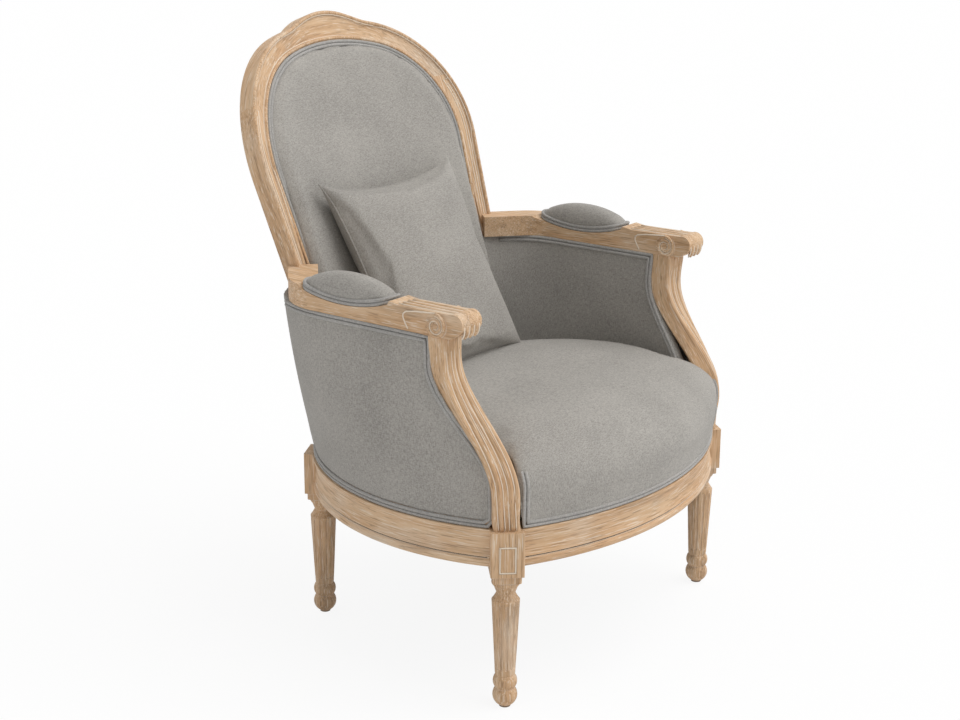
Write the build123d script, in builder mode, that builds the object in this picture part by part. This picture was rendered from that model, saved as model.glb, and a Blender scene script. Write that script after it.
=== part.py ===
"""Upholstered armchair with a round-topped show-wood back, scrolled arms and a loose pillow."""

import os
from math import acos, atan2, cos, degrees, radians, sin, sqrt

from build123d import *

os.makedirs("parts", exist_ok=True)

# Millimetres. The chair faces -Y with +Z up, and its origin is on the floor under its middle.
# Left and right are the sitter's, so left is +X.

# Legs, turned in one piece with the square block that the rails meet
FRONT_LEG_X = 298
FRONT_LEG_Y = -272
REAR_LEG_X = 210
REAR_LEG_Y = 180
LEG_BLOCK = 52
BLOCK_BOTTOM = 226
BLOCK_COLLAR = 45
BLOCK_CORNER = 2
COLLAR_CORNER = 4
COLLAR_BOTTOM = 214
TORUS_DIAMETER = 45
NECK_DIAMETER = 29
SHAFT_TOP_DIAMETER = 44
SHAFT_TOP = 184
SHAFT_FOOT_DIAMETER = 32
SHAFT_FOOT = 57
RING_DIAMETER = 38
BALL_DIAMETER = 39
BALL_TOP = 32
FOOT_FLAT_DIAMETER = 20
FLUTE_COUNT = 12
FLUTE_DIAMETER = 6
FLUTE_DEPTH = 2
FLUTE_MARGIN = 10
PANEL_WIDTH = 27
PANEL_HEIGHT = 44
PANEL_LINE = 3
PANEL_DROP = 8
PANEL_DEPTH = 1.5
GLIDE_DIAMETER = 18
GLIDE_HEIGHT = 3
GLIDE_PIN_DIAMETER = 3
GLIDE_PIN_LENGTH = 14

# Seat rails, bowed in plan, with a moulded face and a set-back strip that the covers are tacked to
RAIL_BOTTOM = 236
RAIL_TOP = 298
TACK_TOP = 310
RAIL_DEPTH = 34
REBATE = 7
FRONT_RAIL_RADIUS = 545
SIDE_RAIL_RADIUS = 383
BACK_RAIL_RADIUS = 830
BEAD_HEIGHT = 15
BEAD_DEPTH = 5
RAIL_STEP = 2
RAIL_LIP = 4
COVE_DEPTH = 3

# Arms, their posts and pads
ARM_X = 328
ARM_WIDTH = 48
ARM_BOTTOM = 594
ARM_TOP = 631
ARM_NOSE_Y = -228
ARM_BEND_Y = 68
ARM_BEND_RADIUS = 86
ARM_BEND_ANGLE = 48
ARM_TAIL = 72
VOLUTE_Y = -180
VOLUTE_Z = 611
VOLUTE_DIAMETER = 37
VOLUTE_STANDS = 3
VOLUTE_EYE = 9
POST_TOP_WIDTH = 49
POST_TOP_DEPTH = 38
POST_FOOT_WIDTH = 42
POST_FOOT_DEPTH = 36
POST_TOP_Y = -171
POST_BEND_LOW = 362
POST_BEND_HIGH = 550
POST_CORNER = 5
POST_STEPS = 8
ARM_ROLL = 22
ARM_CRADLE_STEP = 3
ARM_PAD_REAR = 98
ARM_PAD_FRONT = -86
ARM_PAD_SCOOP = 15
ARM_PAD_CROWN = 30

# Round-topped back, laid out on its reclined front plane: across, and up the slope from arm height
BACK_Y = 206
BACK_DATUM_Z = 620
BACK_RECLINE = 20.2
BACK_BOW_RADIUS = 1065
FRAME_DEPTH = 32
BACK_HALF_WIDTH = 282
BACK_FOOT_HALF_WIDTH = 262
SHOULDER_RADIUS = 222
ARCH_RADIUS = 430
ARCH_RISE = 404
CREST_RADIUS = 160
CREST_RISE = 419
FRAME_FACE = 36
INNER_SHOULDER_RADIUS = 190
INNER_ARCH_RADIUS = 390
INNER_ARCH_RISE = 366
CREST_JOINT = 270
CREST_DOWEL_X = 236
STILE_FOOT = -28
CREST_SWEEP = 40
BACK_PAD_FOOT = -300
FACE_LIP = 7
FACE_SINK = 2.5

# Upholstery
WELT_WIDTH = 12
WELT_HEIGHT = 5
SOFT_GAP = 0.3
WALL_FOOT = 38
WALL_HEAD = 40
WALL_SWELL = 6
WALL_START = -4
WALL_BEND_STEP = 2.6
WALL_WRAP = 8
WALL_STEPS = 3
OUTER_LINE = (-262, -164)
INNER_LINE = (-236, -152)
INNER_WELT_FOOT = 392
OUTER_PANEL = 6
INNER_PAD = 14
SEAT_CROWN = 440
SEAT_FRONT_HALF = 285
SEAT_REAR_HALF = 190
SEAT_REAR_Y = 102
SEAT_REAR_BOW = 8
SEAT_TUCK = 6
SEAT_BACK_GAP = 14
SEAT_CORNER = 25
SEAT_LAYERS = (
    (0, 0),
    (0.12, -8),
    (0.3, -14),
    (0.45, -15),
    (0.57, -11),
    (0.68, 0),
    (0.78, 18),
    (0.88, 49),
    (0.95, 94),
    (1, 160),
)
BACK_PAD_CROWN = 22
BACK_PAD_EDGE = 2
BACK_PAD_DEPTH = 10
BACK_PAD_RADIUS = 1500
BACK_PAD_ROUND = 8
COVER = 2
PAD_WELT_EDGE = 0.5
PAD_LAYERS = ((0, 3), (0.3, 2), (0.55, 2), (0.75, 5), (0.9, 10), (1, 17))
PILLOW_WIDTH = 340
PILLOW_HEIGHT = 362
PILLOW_THICKNESS = 80
PILLOW_LEAN = 27.6
PILLOW_X = -17
PILLOW_FOOT_Y = 28.6
PILLOW_FOOT_Z = 427.4
PILLOW_LAYERS = ((0, 0, 10), (0.35, 12, 3), (0.6, 32, -5), (0.8, 62, -11), (0.93, 96, -14), (1, 135, -15))

# Hidden parts
BACK_POST = 30
DOWEL_DIAMETER = 10
DOWEL_LENGTH = 44
DOWEL_GAP = 0.1
DOWEL_SHIFT = 10
DOWEL_HEIGHTS = (252, 270)
SPRING_WIRE = 3.8
SPRING_SIDES = 8
SPRING_COUNT = 4
SPRING_PITCH = 90
SPRING_WAVES = 15
SPRING_SWING = 20
SPRING_BEND = 7
CLIP_WIDTH = 16
CLIP_HEIGHT = 5.6
CLIP_INSET = 9.5
BURLAP = 1.5
DUST_SHEET = 1
CORNER_BLOCK = 26
CORNER_BLOCK_LENGTH = 130
CORNER_BLOCK_HEIGHT = 44
SCREW_Z = 262
SCREW_DIAMETER = 5
SCREW_LENGTH = 48
SCREW_HEAD = 2
CROSS_RAIL = 40
BACK_SHEET = 4
APRON_FOOT_HALF = 212
APRON_HEAD_HALF = 256


def bow_centre(start, end, radius):
    """Centre of the plan arc of this radius from start to end, on the left of the way between them."""
    chord = Vector(*end) - Vector(*start)
    middle = (Vector(*end) + Vector(*start)) / 2
    to_centre = Vector(-chord.Y, chord.X).normalized()
    return middle + to_centre * sqrt(radius**2 - (chord.length / 2) ** 2)


def azimuth(centre, point):
    """Direction in plan from a centre to a point, in degrees."""
    return degrees(atan2(point[1] - centre.Y, point[0] - centre.X))


def upright_plane(centre, angle):
    """Upright plane through a vertical axis: its x runs outward at this angle, its y runs up."""
    outward = (cos(radians(angle)), sin(radians(angle)), 0)
    return Plane(origin=(centre.X, centre.Y, 0), x_dir=outward, z_dir=(outward[1], -outward[0], 0))


# Centres of the bowed rails, whose middle lines run from leg centre to leg centre
front_leg = (FRONT_LEG_X, FRONT_LEG_Y)
front_leg_far = (-FRONT_LEG_X, FRONT_LEG_Y)
rear_leg = (REAR_LEG_X, REAR_LEG_Y)
rear_leg_far = (-REAR_LEG_X, REAR_LEG_Y)
front_centre = bow_centre(front_leg_far, front_leg, FRONT_RAIL_RADIUS)
side_centre = bow_centre(front_leg, rear_leg, SIDE_RAIL_RADIUS)
back_centre = bow_centre(rear_leg, rear_leg_far, BACK_RAIL_RADIUS)
front_start = azimuth(front_centre, front_leg_far)
front_end = azimuth(front_centre, front_leg)
side_start = azimuth(side_centre, front_leg)
side_end = azimuth(side_centre, rear_leg)
back_start = azimuth(back_centre, rear_leg)
back_end = azimuth(back_centre, rear_leg_far)

# Each leg block faces midway between the outward directions of the two rails that it joins
front_block_turn = (front_end + side_start) / 2 + 90
rear_block_turn = (side_end + back_start) / 2 + 90
leg_places = {
    "front_leg_left": (front_leg, front_block_turn),
    "front_leg_right": (front_leg_far, -front_block_turn),
    "rear_leg_left": (rear_leg, rear_block_turn),
    "rear_leg_right": (rear_leg_far, -rear_block_turn),
}

# One flute's cutter, a round-ended rod that leans with the taper of the shaft
flute_slope = (SHAFT_TOP_DIAMETER - SHAFT_FOOT_DIAMETER) / 2 / (SHAFT_TOP - SHAFT_FOOT)
flute_angle = degrees(atan2(flute_slope, 1))
flute_length = SHAFT_TOP - SHAFT_FOOT - 2 * FLUTE_MARGIN
flute_foot_z = SHAFT_FOOT + FLUTE_MARGIN
flute_foot_r = SHAFT_FOOT_DIAMETER / 2 + flute_slope * FLUTE_MARGIN + FLUTE_DIAMETER / 2 - FLUTE_DEPTH
flute_plane = Plane(
    origin=(flute_foot_r, 0, flute_foot_z),
    x_dir=(cos(radians(flute_angle)), 0, -sin(radians(flute_angle))),
    z_dir=(sin(radians(flute_angle)), 0, cos(radians(flute_angle))),
)
with BuildPart(flute_plane) as flute:
    Cylinder(FLUTE_DIAMETER / 2, flute_length, align=(Align.CENTER, Align.CENTER, Align.MIN))
    Sphere(FLUTE_DIAMETER / 2)
    with Locations((0, 0, flute_length)):
        Sphere(FLUTE_DIAMETER / 2)

# Turned leg at the origin, with the carved face of its block towards -Y
with BuildPart() as turned_leg:
    with BuildSketch(Plane.XZ):
        with BuildLine():
            foot = (FOOT_FLAT_DIAMETER / 2, GLIDE_HEIGHT)
            ball_top = (RING_DIAMETER / 2 - 4, BALL_TOP)
            Polyline((0, SHAFT_FOOT), (0, GLIDE_HEIGHT), foot)
            ThreePointArc(foot, (BALL_DIAMETER / 2, (BALL_TOP + GLIDE_HEIGHT) / 2 + 2), ball_top)
            ring_top = (RING_DIAMETER / 2 - 4, SHAFT_FOOT - 3)
            ThreePointArc(ball_top, (RING_DIAMETER / 2, (BALL_TOP + SHAFT_FOOT) / 2), ring_top)
            shaft_foot = (SHAFT_FOOT_DIAMETER / 2, SHAFT_FOOT)
            shaft_top = (SHAFT_TOP_DIAMETER / 2, SHAFT_TOP - 4)
            neck = (NECK_DIAMETER / 2, SHAFT_TOP + 8)
            torus_foot = (TORUS_DIAMETER / 2 - 3, COLLAR_BOTTOM - 9)
            torus_top = (TORUS_DIAMETER / 2 - 2, COLLAR_BOTTOM)
            Polyline(ring_top, shaft_foot, shaft_top, (SHAFT_TOP_DIAMETER / 2 - 3, SHAFT_TOP), neck)
            Line(neck, torus_foot)
            ThreePointArc(torus_foot, (TORUS_DIAMETER / 2, COLLAR_BOTTOM - 4.5), torus_top)
            Polyline(torus_top, (0, COLLAR_BOTTOM), (0, SHAFT_FOOT))
        make_face()
    revolve(axis=Axis.Z)
    with PolarLocations(0, FLUTE_COUNT):
        add(flute.part, mode=Mode.SUBTRACT)
    with BuildSketch(Plane.XY.offset(COLLAR_BOTTOM)):
        RectangleRounded(BLOCK_COLLAR, BLOCK_COLLAR, COLLAR_CORNER)
    extrude(amount=BLOCK_BOTTOM - COLLAR_BOTTOM)
    with BuildSketch(Plane.XY.offset(BLOCK_BOTTOM)):
        RectangleRounded(LEG_BLOCK, LEG_BLOCK, BLOCK_CORNER)
    extrude(amount=RAIL_TOP - BLOCK_BOTTOM)
    panel_z = (BLOCK_BOTTOM + RAIL_TOP) / 2 - PANEL_DROP
    with BuildSketch(Plane(origin=(0, -LEG_BLOCK / 2, panel_z), x_dir=(1, 0, 0), z_dir=(0, -1, 0))):
        Rectangle(PANEL_WIDTH, PANEL_HEIGHT)
        Rectangle(PANEL_WIDTH - 2 * PANEL_LINE, PANEL_HEIGHT - 2 * PANEL_LINE, mode=Mode.SUBTRACT)
    extrude(amount=-PANEL_DEPTH, mode=Mode.SUBTRACT)
    for dowel_z in DOWEL_HEIGHTS:
        for side in (-1, 1):
            with Locations(Location((side * LEG_BLOCK / 2, DOWEL_SHIFT, dowel_z), (0, side * 90, 0))):
                Hole(DOWEL_DIAMETER / 2 + DOWEL_GAP, DOWEL_LENGTH / 2 + 1)
    with Locations((0, 0, RAIL_TOP)):
        Hole(DOWEL_DIAMETER / 2 + DOWEL_GAP, DOWEL_LENGTH / 2 + 1)
    with Locations(Location((0, LEG_BLOCK / 2, SCREW_Z), (-90, 0, 0))):
        Hole(SCREW_DIAMETER / 2 + DOWEL_GAP, SCREW_LENGTH - CORNER_BLOCK + 1)
    with Locations(Location((0, 0, GLIDE_HEIGHT), (180, 0, 0))):
        Hole(GLIDE_PIN_DIAMETER / 2 + DOWEL_GAP, GLIDE_PIN_LENGTH + 1)

leg_parts = {}
for name, (place, turn) in leg_places.items():
    with BuildPart() as leg:
        with Locations(Location((place[0], place[1], 0), (0, 0, turn))):
            add(turned_leg.part)
    leg.part.label = name
    leg_parts[name] = leg.part
    export_step(leg.part, f"parts/{name}.step")

# Nail-on glides, one under each foot
with BuildPart() as foot_glides:
    for place, turn in leg_places.values():
        with Locations((place[0], place[1], 0)):
            Cylinder(GLIDE_DIAMETER / 2, GLIDE_HEIGHT, align=(Align.CENTER, Align.CENTER, Align.MIN))
            Cylinder(
                GLIDE_PIN_DIAMETER / 2,
                GLIDE_HEIGHT + GLIDE_PIN_LENGTH,
                align=(Align.CENTER, Align.CENTER, Align.MIN),
            )
foot_glides.part.label = "foot_glides"
export_step(foot_glides.part, "parts/foot_glides.step")

# Dowels that hold the rails to the leg blocks, square to the sides of each block
with BuildPart() as rail_dowels:
    for place, turn in leg_places.values():
        with Locations(Location((place[0], place[1], 0), (0, 0, turn))):
            for dowel_z in DOWEL_HEIGHTS:
                with GridLocations(LEG_BLOCK, 1, 2, 1):
                    with Locations(Location((0, DOWEL_SHIFT, dowel_z), (0, 90, 0))):
                        Cylinder(DOWEL_DIAMETER / 2, DOWEL_LENGTH)
rail_dowels.part.label = "rail_dowels"
export_step(rail_dowels.part, "parts/rail_dowels.step")

# The same dowels a little fatter, to bore the rail ends
with BuildPart() as dowel_bores:
    for place, turn in leg_places.values():
        with Locations(Location((place[0], place[1], 0), (0, 0, turn))):
            for dowel_z in DOWEL_HEIGHTS:
                with GridLocations(LEG_BLOCK, 1, 2, 1):
                    with Locations(Location((0, DOWEL_SHIFT, dowel_z), (0, 90, 0))):
                        Cylinder(DOWEL_DIAMETER / 2 + DOWEL_GAP, DOWEL_LENGTH + 2)

# Squares that the rails are cut back from, so that they butt against the leg blocks
with BuildPart() as block_cuts:
    for place, turn in leg_places.values():
        with Locations(Location((place[0], place[1], BLOCK_BOTTOM), (0, 0, turn))):
            Box(LEG_BLOCK, LEG_BLOCK, TACK_TOP, align=(Align.CENTER, Align.CENTER, Align.MIN))

rail_spans = {
    "front_rail": (front_centre, FRONT_RAIL_RADIUS, front_start, front_end),
    "side_rail_left": (side_centre, SIDE_RAIL_RADIUS, side_start, side_end),
    "back_rail": (back_centre, BACK_RAIL_RADIUS, back_start, back_end),
}
rail_parts = {}
for name, (centre, radius, start, end) in rail_spans.items():
    face = radius + RAIL_DEPTH / 2
    back = radius - RAIL_DEPTH / 2
    bead_top = RAIL_BOTTOM + BEAD_HEIGHT
    with BuildPart() as rail:
        with BuildSketch(upright_plane(centre, start)):
            with BuildLine():
                Line((back, RAIL_BOTTOM), (face - BEAD_DEPTH, RAIL_BOTTOM))
                ThreePointArc(
                    (face - BEAD_DEPTH, RAIL_BOTTOM),
                    (face, RAIL_BOTTOM + BEAD_HEIGHT / 2),
                    (face - BEAD_DEPTH, bead_top),
                )
                Line((face - BEAD_DEPTH, bead_top), (face - RAIL_STEP, bead_top + RAIL_STEP))
                ThreePointArc(
                    (face - RAIL_STEP, bead_top + RAIL_STEP),
                    (face - RAIL_STEP - COVE_DEPTH, (bead_top + RAIL_TOP) / 2),
                    (face, RAIL_TOP - RAIL_LIP),
                )
                Polyline(
                    (face, RAIL_TOP - RAIL_LIP),
                    (face, RAIL_TOP),
                    (face - REBATE, RAIL_TOP),
                    (face - REBATE, TACK_TOP),
                    (back, TACK_TOP),
                    (back, RAIL_BOTTOM),
                )
            make_face()
        revolve(axis=Axis((centre.X, centre.Y, 0), (0, 0, 1)), revolution_arc=end - start)
        add(block_cuts.part, mode=Mode.SUBTRACT)
        add(dowel_bores.part, mode=Mode.SUBTRACT)
    rail.part.label = name
    rail_parts[name] = rail.part
    export_step(rail.part, f"parts/{name}.step")


# Front plane of the back: its x runs across, its y up the slope and its z out to the front
tilt = radians(BACK_RECLINE)
slope_up = Vector(0, sin(tilt), cos(tilt))
slope_out = Vector(0, -cos(tilt), sin(tilt))
back_plane = Plane(origin=(0, BACK_Y, BACK_DATUM_Z), x_dir=(1, 0, 0), z_dir=slope_out)
slab_length = CREST_RISE - BACK_PAD_FOOT
bow_plane = Plane(origin=back_plane.origin + slope_up * BACK_PAD_FOOT, x_dir=(1, 0, 0), z_dir=slope_up)


def bow_section(front, rear):
    """Section of a slab that follows the bow of the back, between two depths behind the frame's face."""
    with BuildSketch(bow_plane) as section:
        with Locations((0, -BACK_BOW_RADIUS)):
            Circle(BACK_BOW_RADIUS + rear)
            Circle(BACK_BOW_RADIUS + front, mode=Mode.SUBTRACT)
        Rectangle(2 * ARM_X, BACK_HALF_WIDTH, mode=Mode.INTERSECT)
    return section.sketch


def arch_face(half_width, foot_half_width, shoulder, arch, rise, foot):
    """Round-topped outline: straight sides, two shoulder arcs and a flatter arc across the top."""
    shoulder_x = half_width - shoulder
    shoulder_drop = sqrt((arch - shoulder) ** 2 - shoulder_x**2)
    arch_y = rise - arch
    spring_y = arch_y + shoulder_drop
    meet = (shoulder_x / (arch - shoulder) * arch, arch_y + shoulder_drop / (arch - shoulder) * arch)
    to_foot = Vector(foot_half_width - shoulder_x, foot - spring_y)
    start_angle = atan2(to_foot.Y, to_foot.X) + acos(shoulder / to_foot.length)
    middle_angle = (start_angle + atan2(shoulder_drop, shoulder_x)) / 2
    start = (shoulder_x + shoulder * cos(start_angle), spring_y + shoulder * sin(start_angle))
    bulge = (shoulder_x + shoulder * cos(middle_angle), spring_y + shoulder * sin(middle_angle))
    with BuildSketch() as face:
        with BuildLine():
            Polyline((-start[0], start[1]), (-foot_half_width, foot), (foot_half_width, foot), start)
            ThreePointArc(start, bulge, meet)
            ThreePointArc(meet, (0, rise), (-meet[0], meet[1]))
            ThreePointArc((-meet[0], meet[1]), (-bulge[0], bulge[1]), (-start[0], start[1]))
        make_face()
    return face.sketch


def outer_arch(inset):
    """Outline of the back frame with its raised crest, moved in by an inset."""
    with BuildSketch() as face:
        add(
            arch_face(
                BACK_HALF_WIDTH - inset,
                BACK_FOOT_HALF_WIDTH - inset,
                SHOULDER_RADIUS - inset,
                ARCH_RADIUS - inset,
                ARCH_RISE - inset,
                STILE_FOOT,
            )
        )
        with Locations((0, CREST_RISE - CREST_RADIUS)):
            Circle(CREST_RADIUS - inset)
        crest_corners = face.vertices().filter_by_position(Axis.Y, ARCH_RISE - 2 * FRAME_FACE, CREST_RISE)
        fillet(crest_corners.sort_by(SortBy.DISTANCE)[-2:], CREST_SWEEP)
    return face.sketch


def inner_arch(inset, foot):
    """Outline of the opening of the back frame, moved in by an inset and carried down to a foot."""
    return arch_face(
        BACK_HALF_WIDTH - FRAME_FACE - inset,
        BACK_FOOT_HALF_WIDTH - FRAME_FACE - inset,
        INNER_SHOULDER_RADIUS - inset,
        INNER_ARCH_RADIUS - inset,
        INNER_ARCH_RISE - inset,
        foot,
    )


# Sunk face of the back frame between its outer lip and its inner bead
with BuildPart() as face_sink:
    extrude(bow_section(-FACE_SINK, FACE_SINK), amount=slab_length)
    with BuildSketch(back_plane):
        add(outer_arch(FACE_LIP))
        add(inner_arch(-FACE_LIP, BACK_PAD_FOOT), mode=Mode.SUBTRACT)
    extrude(amount=BACK_HALF_WIDTH, both=True, mode=Mode.INTERSECT)

# Whole back frame, parted afterwards at the joints between the crest and the stiles
with BuildPart() as back_frame:
    extrude(bow_section(0, FRAME_DEPTH), amount=slab_length)
    with BuildSketch(back_plane):
        add(outer_arch(0))
        add(inner_arch(0, BACK_PAD_FOOT), mode=Mode.SUBTRACT)
    extrude(amount=BACK_HALF_WIDTH, both=True, mode=Mode.INTERSECT)
    add(face_sink.part, mode=Mode.SUBTRACT)

crest_plane = Plane(origin=back_plane.origin + slope_up * CREST_JOINT, x_dir=(1, 0, 0), z_dir=slope_up)
dowel_depth = CREST_DOWEL_X**2 / 2 / BACK_BOW_RADIUS - FRAME_DEPTH / 2
dowel_spot = back_plane.from_local_coords((CREST_DOWEL_X, CREST_JOINT, dowel_depth))
dowel_plane = Plane(origin=dowel_spot, x_dir=(1, 0, 0), z_dir=slope_up)
with BuildPart(dowel_plane) as crest_dowel:
    Cylinder(DOWEL_DIAMETER / 2, DOWEL_LENGTH)
with BuildPart(dowel_plane) as crest_bore:
    Cylinder(DOWEL_DIAMETER / 2 + DOWEL_GAP, DOWEL_LENGTH + 2)

with BuildPart() as crest_rail:
    add(back_frame.part)
    split(bisect_by=crest_plane, keep=Keep.TOP)
    add(crest_bore.part, mode=Mode.SUBTRACT)
    mirror(crest_bore.part, about=Plane.YZ, mode=Mode.SUBTRACT)
crest_rail.part.label = "crest_rail"
export_step(crest_rail.part, "parts/crest_rail.step")

with BuildPart() as back_stile_left:
    add(back_frame.part)
    split(bisect_by=crest_plane, keep=Keep.BOTTOM)
    split(bisect_by=Plane.YZ, keep=Keep.TOP)
    add(crest_bore.part, mode=Mode.SUBTRACT)
back_stile_left.part.label = "back_stile_left"
export_step(back_stile_left.part, "parts/back_stile_left.step")

# Arm: its plan bends in to the stile, and its side has the pad's cradle and the rolled nose
cradle_z = ARM_TOP - ARM_CRADLE_STEP
with BuildPart() as arm_left:
    with BuildSketch(Plane.XY.offset(ARM_BOTTOM)):
        with BuildLine():
            run = Line((ARM_X, ARM_NOSE_Y), (ARM_X, ARM_BEND_Y))
            bend = JernArc(run @ 1, run % 1, ARM_BEND_RADIUS, ARM_BEND_ANGLE)
            Line(bend @ 1, bend @ 1 + (bend % 1) * ARM_TAIL)
        trace(line_width=ARM_WIDTH)
    extrude(amount=2 * (ARM_TOP - ARM_BOTTOM))
    with BuildSketch(Plane.YZ):
        with BuildLine():
            Polyline((ARM_NOSE_Y + ARM_ROLL, ARM_BOTTOM), (BACK_Y + FRAME_DEPTH, ARM_BOTTOM))
            Polyline(
                (BACK_Y + FRAME_DEPTH, ARM_BOTTOM),
                (BACK_Y + FRAME_DEPTH, ARM_TOP),
                (ARM_PAD_REAR + ARM_CRADLE_STEP, ARM_TOP),
                (ARM_PAD_REAR, cradle_z),
            )
            ThreePointArc(
                (ARM_PAD_REAR, cradle_z),
                ((ARM_PAD_REAR + ARM_PAD_FRONT) / 2, cradle_z - ARM_PAD_SCOOP),
                (ARM_PAD_FRONT, cradle_z),
            )
            Polyline(
                (ARM_PAD_FRONT, cradle_z),
                (ARM_PAD_FRONT - ARM_CRADLE_STEP, ARM_TOP + ARM_CRADLE_STEP),
                (ARM_PAD_FRONT - 8 * ARM_CRADLE_STEP, ARM_TOP),
                (ARM_NOSE_Y + ARM_ROLL, ARM_TOP + 1),
            )
            ThreePointArc(
                (ARM_NOSE_Y + ARM_ROLL, ARM_TOP + 1),
                (ARM_NOSE_Y, ARM_TOP - ARM_ROLL / 2),
                (ARM_NOSE_Y + ARM_ROLL / 2, ARM_BOTTOM + ARM_ROLL / 3),
            )
            Line((ARM_NOSE_Y + ARM_ROLL / 2, ARM_BOTTOM + ARM_ROLL / 3), (ARM_NOSE_Y + ARM_ROLL, ARM_BOTTOM))
        make_face()
    extrude(amount=2 * ARM_X, mode=Mode.INTERSECT)
    with Locations(Location((ARM_X, VOLUTE_Y, VOLUTE_Z), (0, 90, 0))):
        Cylinder(VOLUTE_DIAMETER / 2, ARM_WIDTH + 2 * VOLUTE_STANDS)
        Cylinder(VOLUTE_EYE / 2, ARM_WIDTH + 3 * VOLUTE_STANDS)
    add(back_stile_left.part, mode=Mode.SUBTRACT)
    with Locations(Location((ARM_X, POST_TOP_Y, ARM_BOTTOM), (180, 0, 0))):
        Hole(DOWEL_DIAMETER / 2 + DOWEL_GAP, DOWEL_LENGTH / 2 + 1)
arm_left.part.label = "arm_left"
export_step(arm_left.part, "parts/arm_left.step")


def ease(height):
    """Share of the way through the S-bend of the arm post at a height, from 0 to 1."""
    share = (height - POST_BEND_LOW) / (POST_BEND_HIGH - POST_BEND_LOW)
    share = min(max(share, 0), 1)
    return share * share * (3 - 2 * share)


def between(low, high, share):
    """Value part of the way from low to high."""
    return low + (high - low) * share


def post_section(height):
    """Rounded section of the arm post, which turns from the leg block's face to straight ahead."""
    rise = (height - RAIL_TOP) / (ARM_BOTTOM - RAIL_TOP)
    bend = ease(height)
    turn = radians(front_block_turn * (1 - bend))
    place = (between(FRONT_LEG_X, ARM_X, rise), between(FRONT_LEG_Y, POST_TOP_Y, bend), height)
    width = between(POST_FOOT_WIDTH, POST_TOP_WIDTH, rise)
    depth = between(POST_FOOT_DEPTH, POST_TOP_DEPTH, rise)
    with BuildSketch(Plane(origin=place, x_dir=(cos(turn), sin(turn), 0), z_dir=(0, 0, 1))) as section:
        RectangleRounded(width, depth, POST_CORNER)
    return section.sketch


# Dowels of the show frame: crest to stiles, arm posts to legs and arms
with BuildPart() as frame_dowels:
    add(crest_dowel.part)
    with Locations((FRONT_LEG_X, FRONT_LEG_Y, RAIL_TOP), (ARM_X, POST_TOP_Y, ARM_BOTTOM)):
        Cylinder(DOWEL_DIAMETER / 2, DOWEL_LENGTH)
    mirror(about=Plane.YZ)
frame_dowels.part.label = "frame_dowels"
export_step(frame_dowels.part, "parts/frame_dowels.step")

# Hidden post from the rear leg block up to the foot of the stile
post_foot_radius = SIDE_RAIL_RADIUS + RAIL_DEPTH / 2 - REBATE - OUTER_PANEL - BACK_POST / 2 - 2
post_foot_way = Vector(cos(radians(side_end)), sin(radians(side_end)))
foot_spot = side_centre + post_foot_way * post_foot_radius
head_x = BACK_FOOT_HALF_WIDTH - FRAME_FACE / 2
head_depth = head_x**2 / 2 / BACK_BOW_RADIUS - FRAME_DEPTH / 2
head_spot = back_plane.from_local_coords((head_x, STILE_FOOT, head_depth))
with BuildPart() as back_post_left:
    with BuildSketch(Plane.XY.offset(RAIL_TOP)):
        with Locations((foot_spot.X, foot_spot.Y)):
            Rectangle(BACK_POST, BACK_POST)
    with BuildSketch(Plane(origin=head_spot, x_dir=(1, 0, 0), z_dir=slope_up)):
        Rectangle(BACK_POST, BACK_POST - 2)
    loft()
    add(rail_parts["side_rail_left"], mode=Mode.SUBTRACT)
    add(rail_parts["back_rail"], mode=Mode.SUBTRACT)
    add(arm_left.part, mode=Mode.SUBTRACT)
back_post_left.part.label = "back_post_left"
export_step(back_post_left.part, "parts/back_post_left.step")


# Inside back, a crowned pad on the bow of the frame with a double welt between it and the wood
pad_axis = Axis(back_plane.from_local_coords((0, 0, BACK_PAD_RADIUS)), slope_up)
pad_swing = degrees(atan2(BACK_HALF_WIDTH, BACK_PAD_RADIUS))
pad_outward = -slope_out.rotate(Axis((0, 0, 0), slope_up), -pad_swing)
pad_plane = Plane(origin=pad_axis.position, x_dir=pad_outward, z_dir=pad_outward.cross(slope_up))
pad_middle = (BACK_PAD_FOOT + INNER_ARCH_RISE) / 2


def back_slab(shrink):
    """Crowned slab of the inside back with square edges, smaller all round by a shrink."""
    front = BACK_PAD_RADIUS - BACK_PAD_EDGE + shrink
    rear = BACK_PAD_RADIUS + BACK_PAD_DEPTH - shrink
    with BuildPart() as pad:
        with BuildSketch(pad_plane):
            with BuildLine():
                ThreePointArc(
                    (front, BACK_PAD_FOOT),
                    (front - BACK_PAD_CROWN, pad_middle),
                    (front, INNER_ARCH_RISE),
                )
                Polyline(
                    (front, INNER_ARCH_RISE),
                    (rear, INNER_ARCH_RISE),
                    (rear, BACK_PAD_FOOT),
                    (front, BACK_PAD_FOOT),
                )
            make_face()
        revolve(axis=pad_axis, revolution_arc=2 * pad_swing)
        with BuildSketch(back_plane):
            add(inner_arch(WELT_WIDTH + 2 * SOFT_GAP + shrink, BACK_PAD_FOOT + shrink))
        extrude(amount=BACK_HALF_WIDTH, both=True, mode=Mode.INTERSECT)
    return pad.part


def back_pad(shrink):
    """The same slab with a rounded rim at its sides and top."""
    with BuildPart() as pad:
        add(back_slab(shrink))
        front_face = pad.faces().sort_by(Axis(back_plane.origin, slope_out))[-1]
        rim = front_face.edges().sort_by(Axis(back_plane.origin, slope_up))[1:]
        fillet(rim, BACK_PAD_ROUND)
    return pad.part


with BuildPart() as back_foam:
    add(back_pad(COVER))
back_foam.part.label = "back_foam"
export_step(back_foam.part, "parts/back_foam.step")

with BuildPart() as back_cover:
    add(back_pad(0))
    add(back_foam.part, mode=Mode.SUBTRACT)
    add(back_post_left.part, mode=Mode.SUBTRACT)
    mirror(back_post_left.part, about=Plane.YZ, mode=Mode.SUBTRACT)
back_cover.part.label = "back_cover"
export_step(back_cover.part, "parts/back_cover.step")

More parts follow.
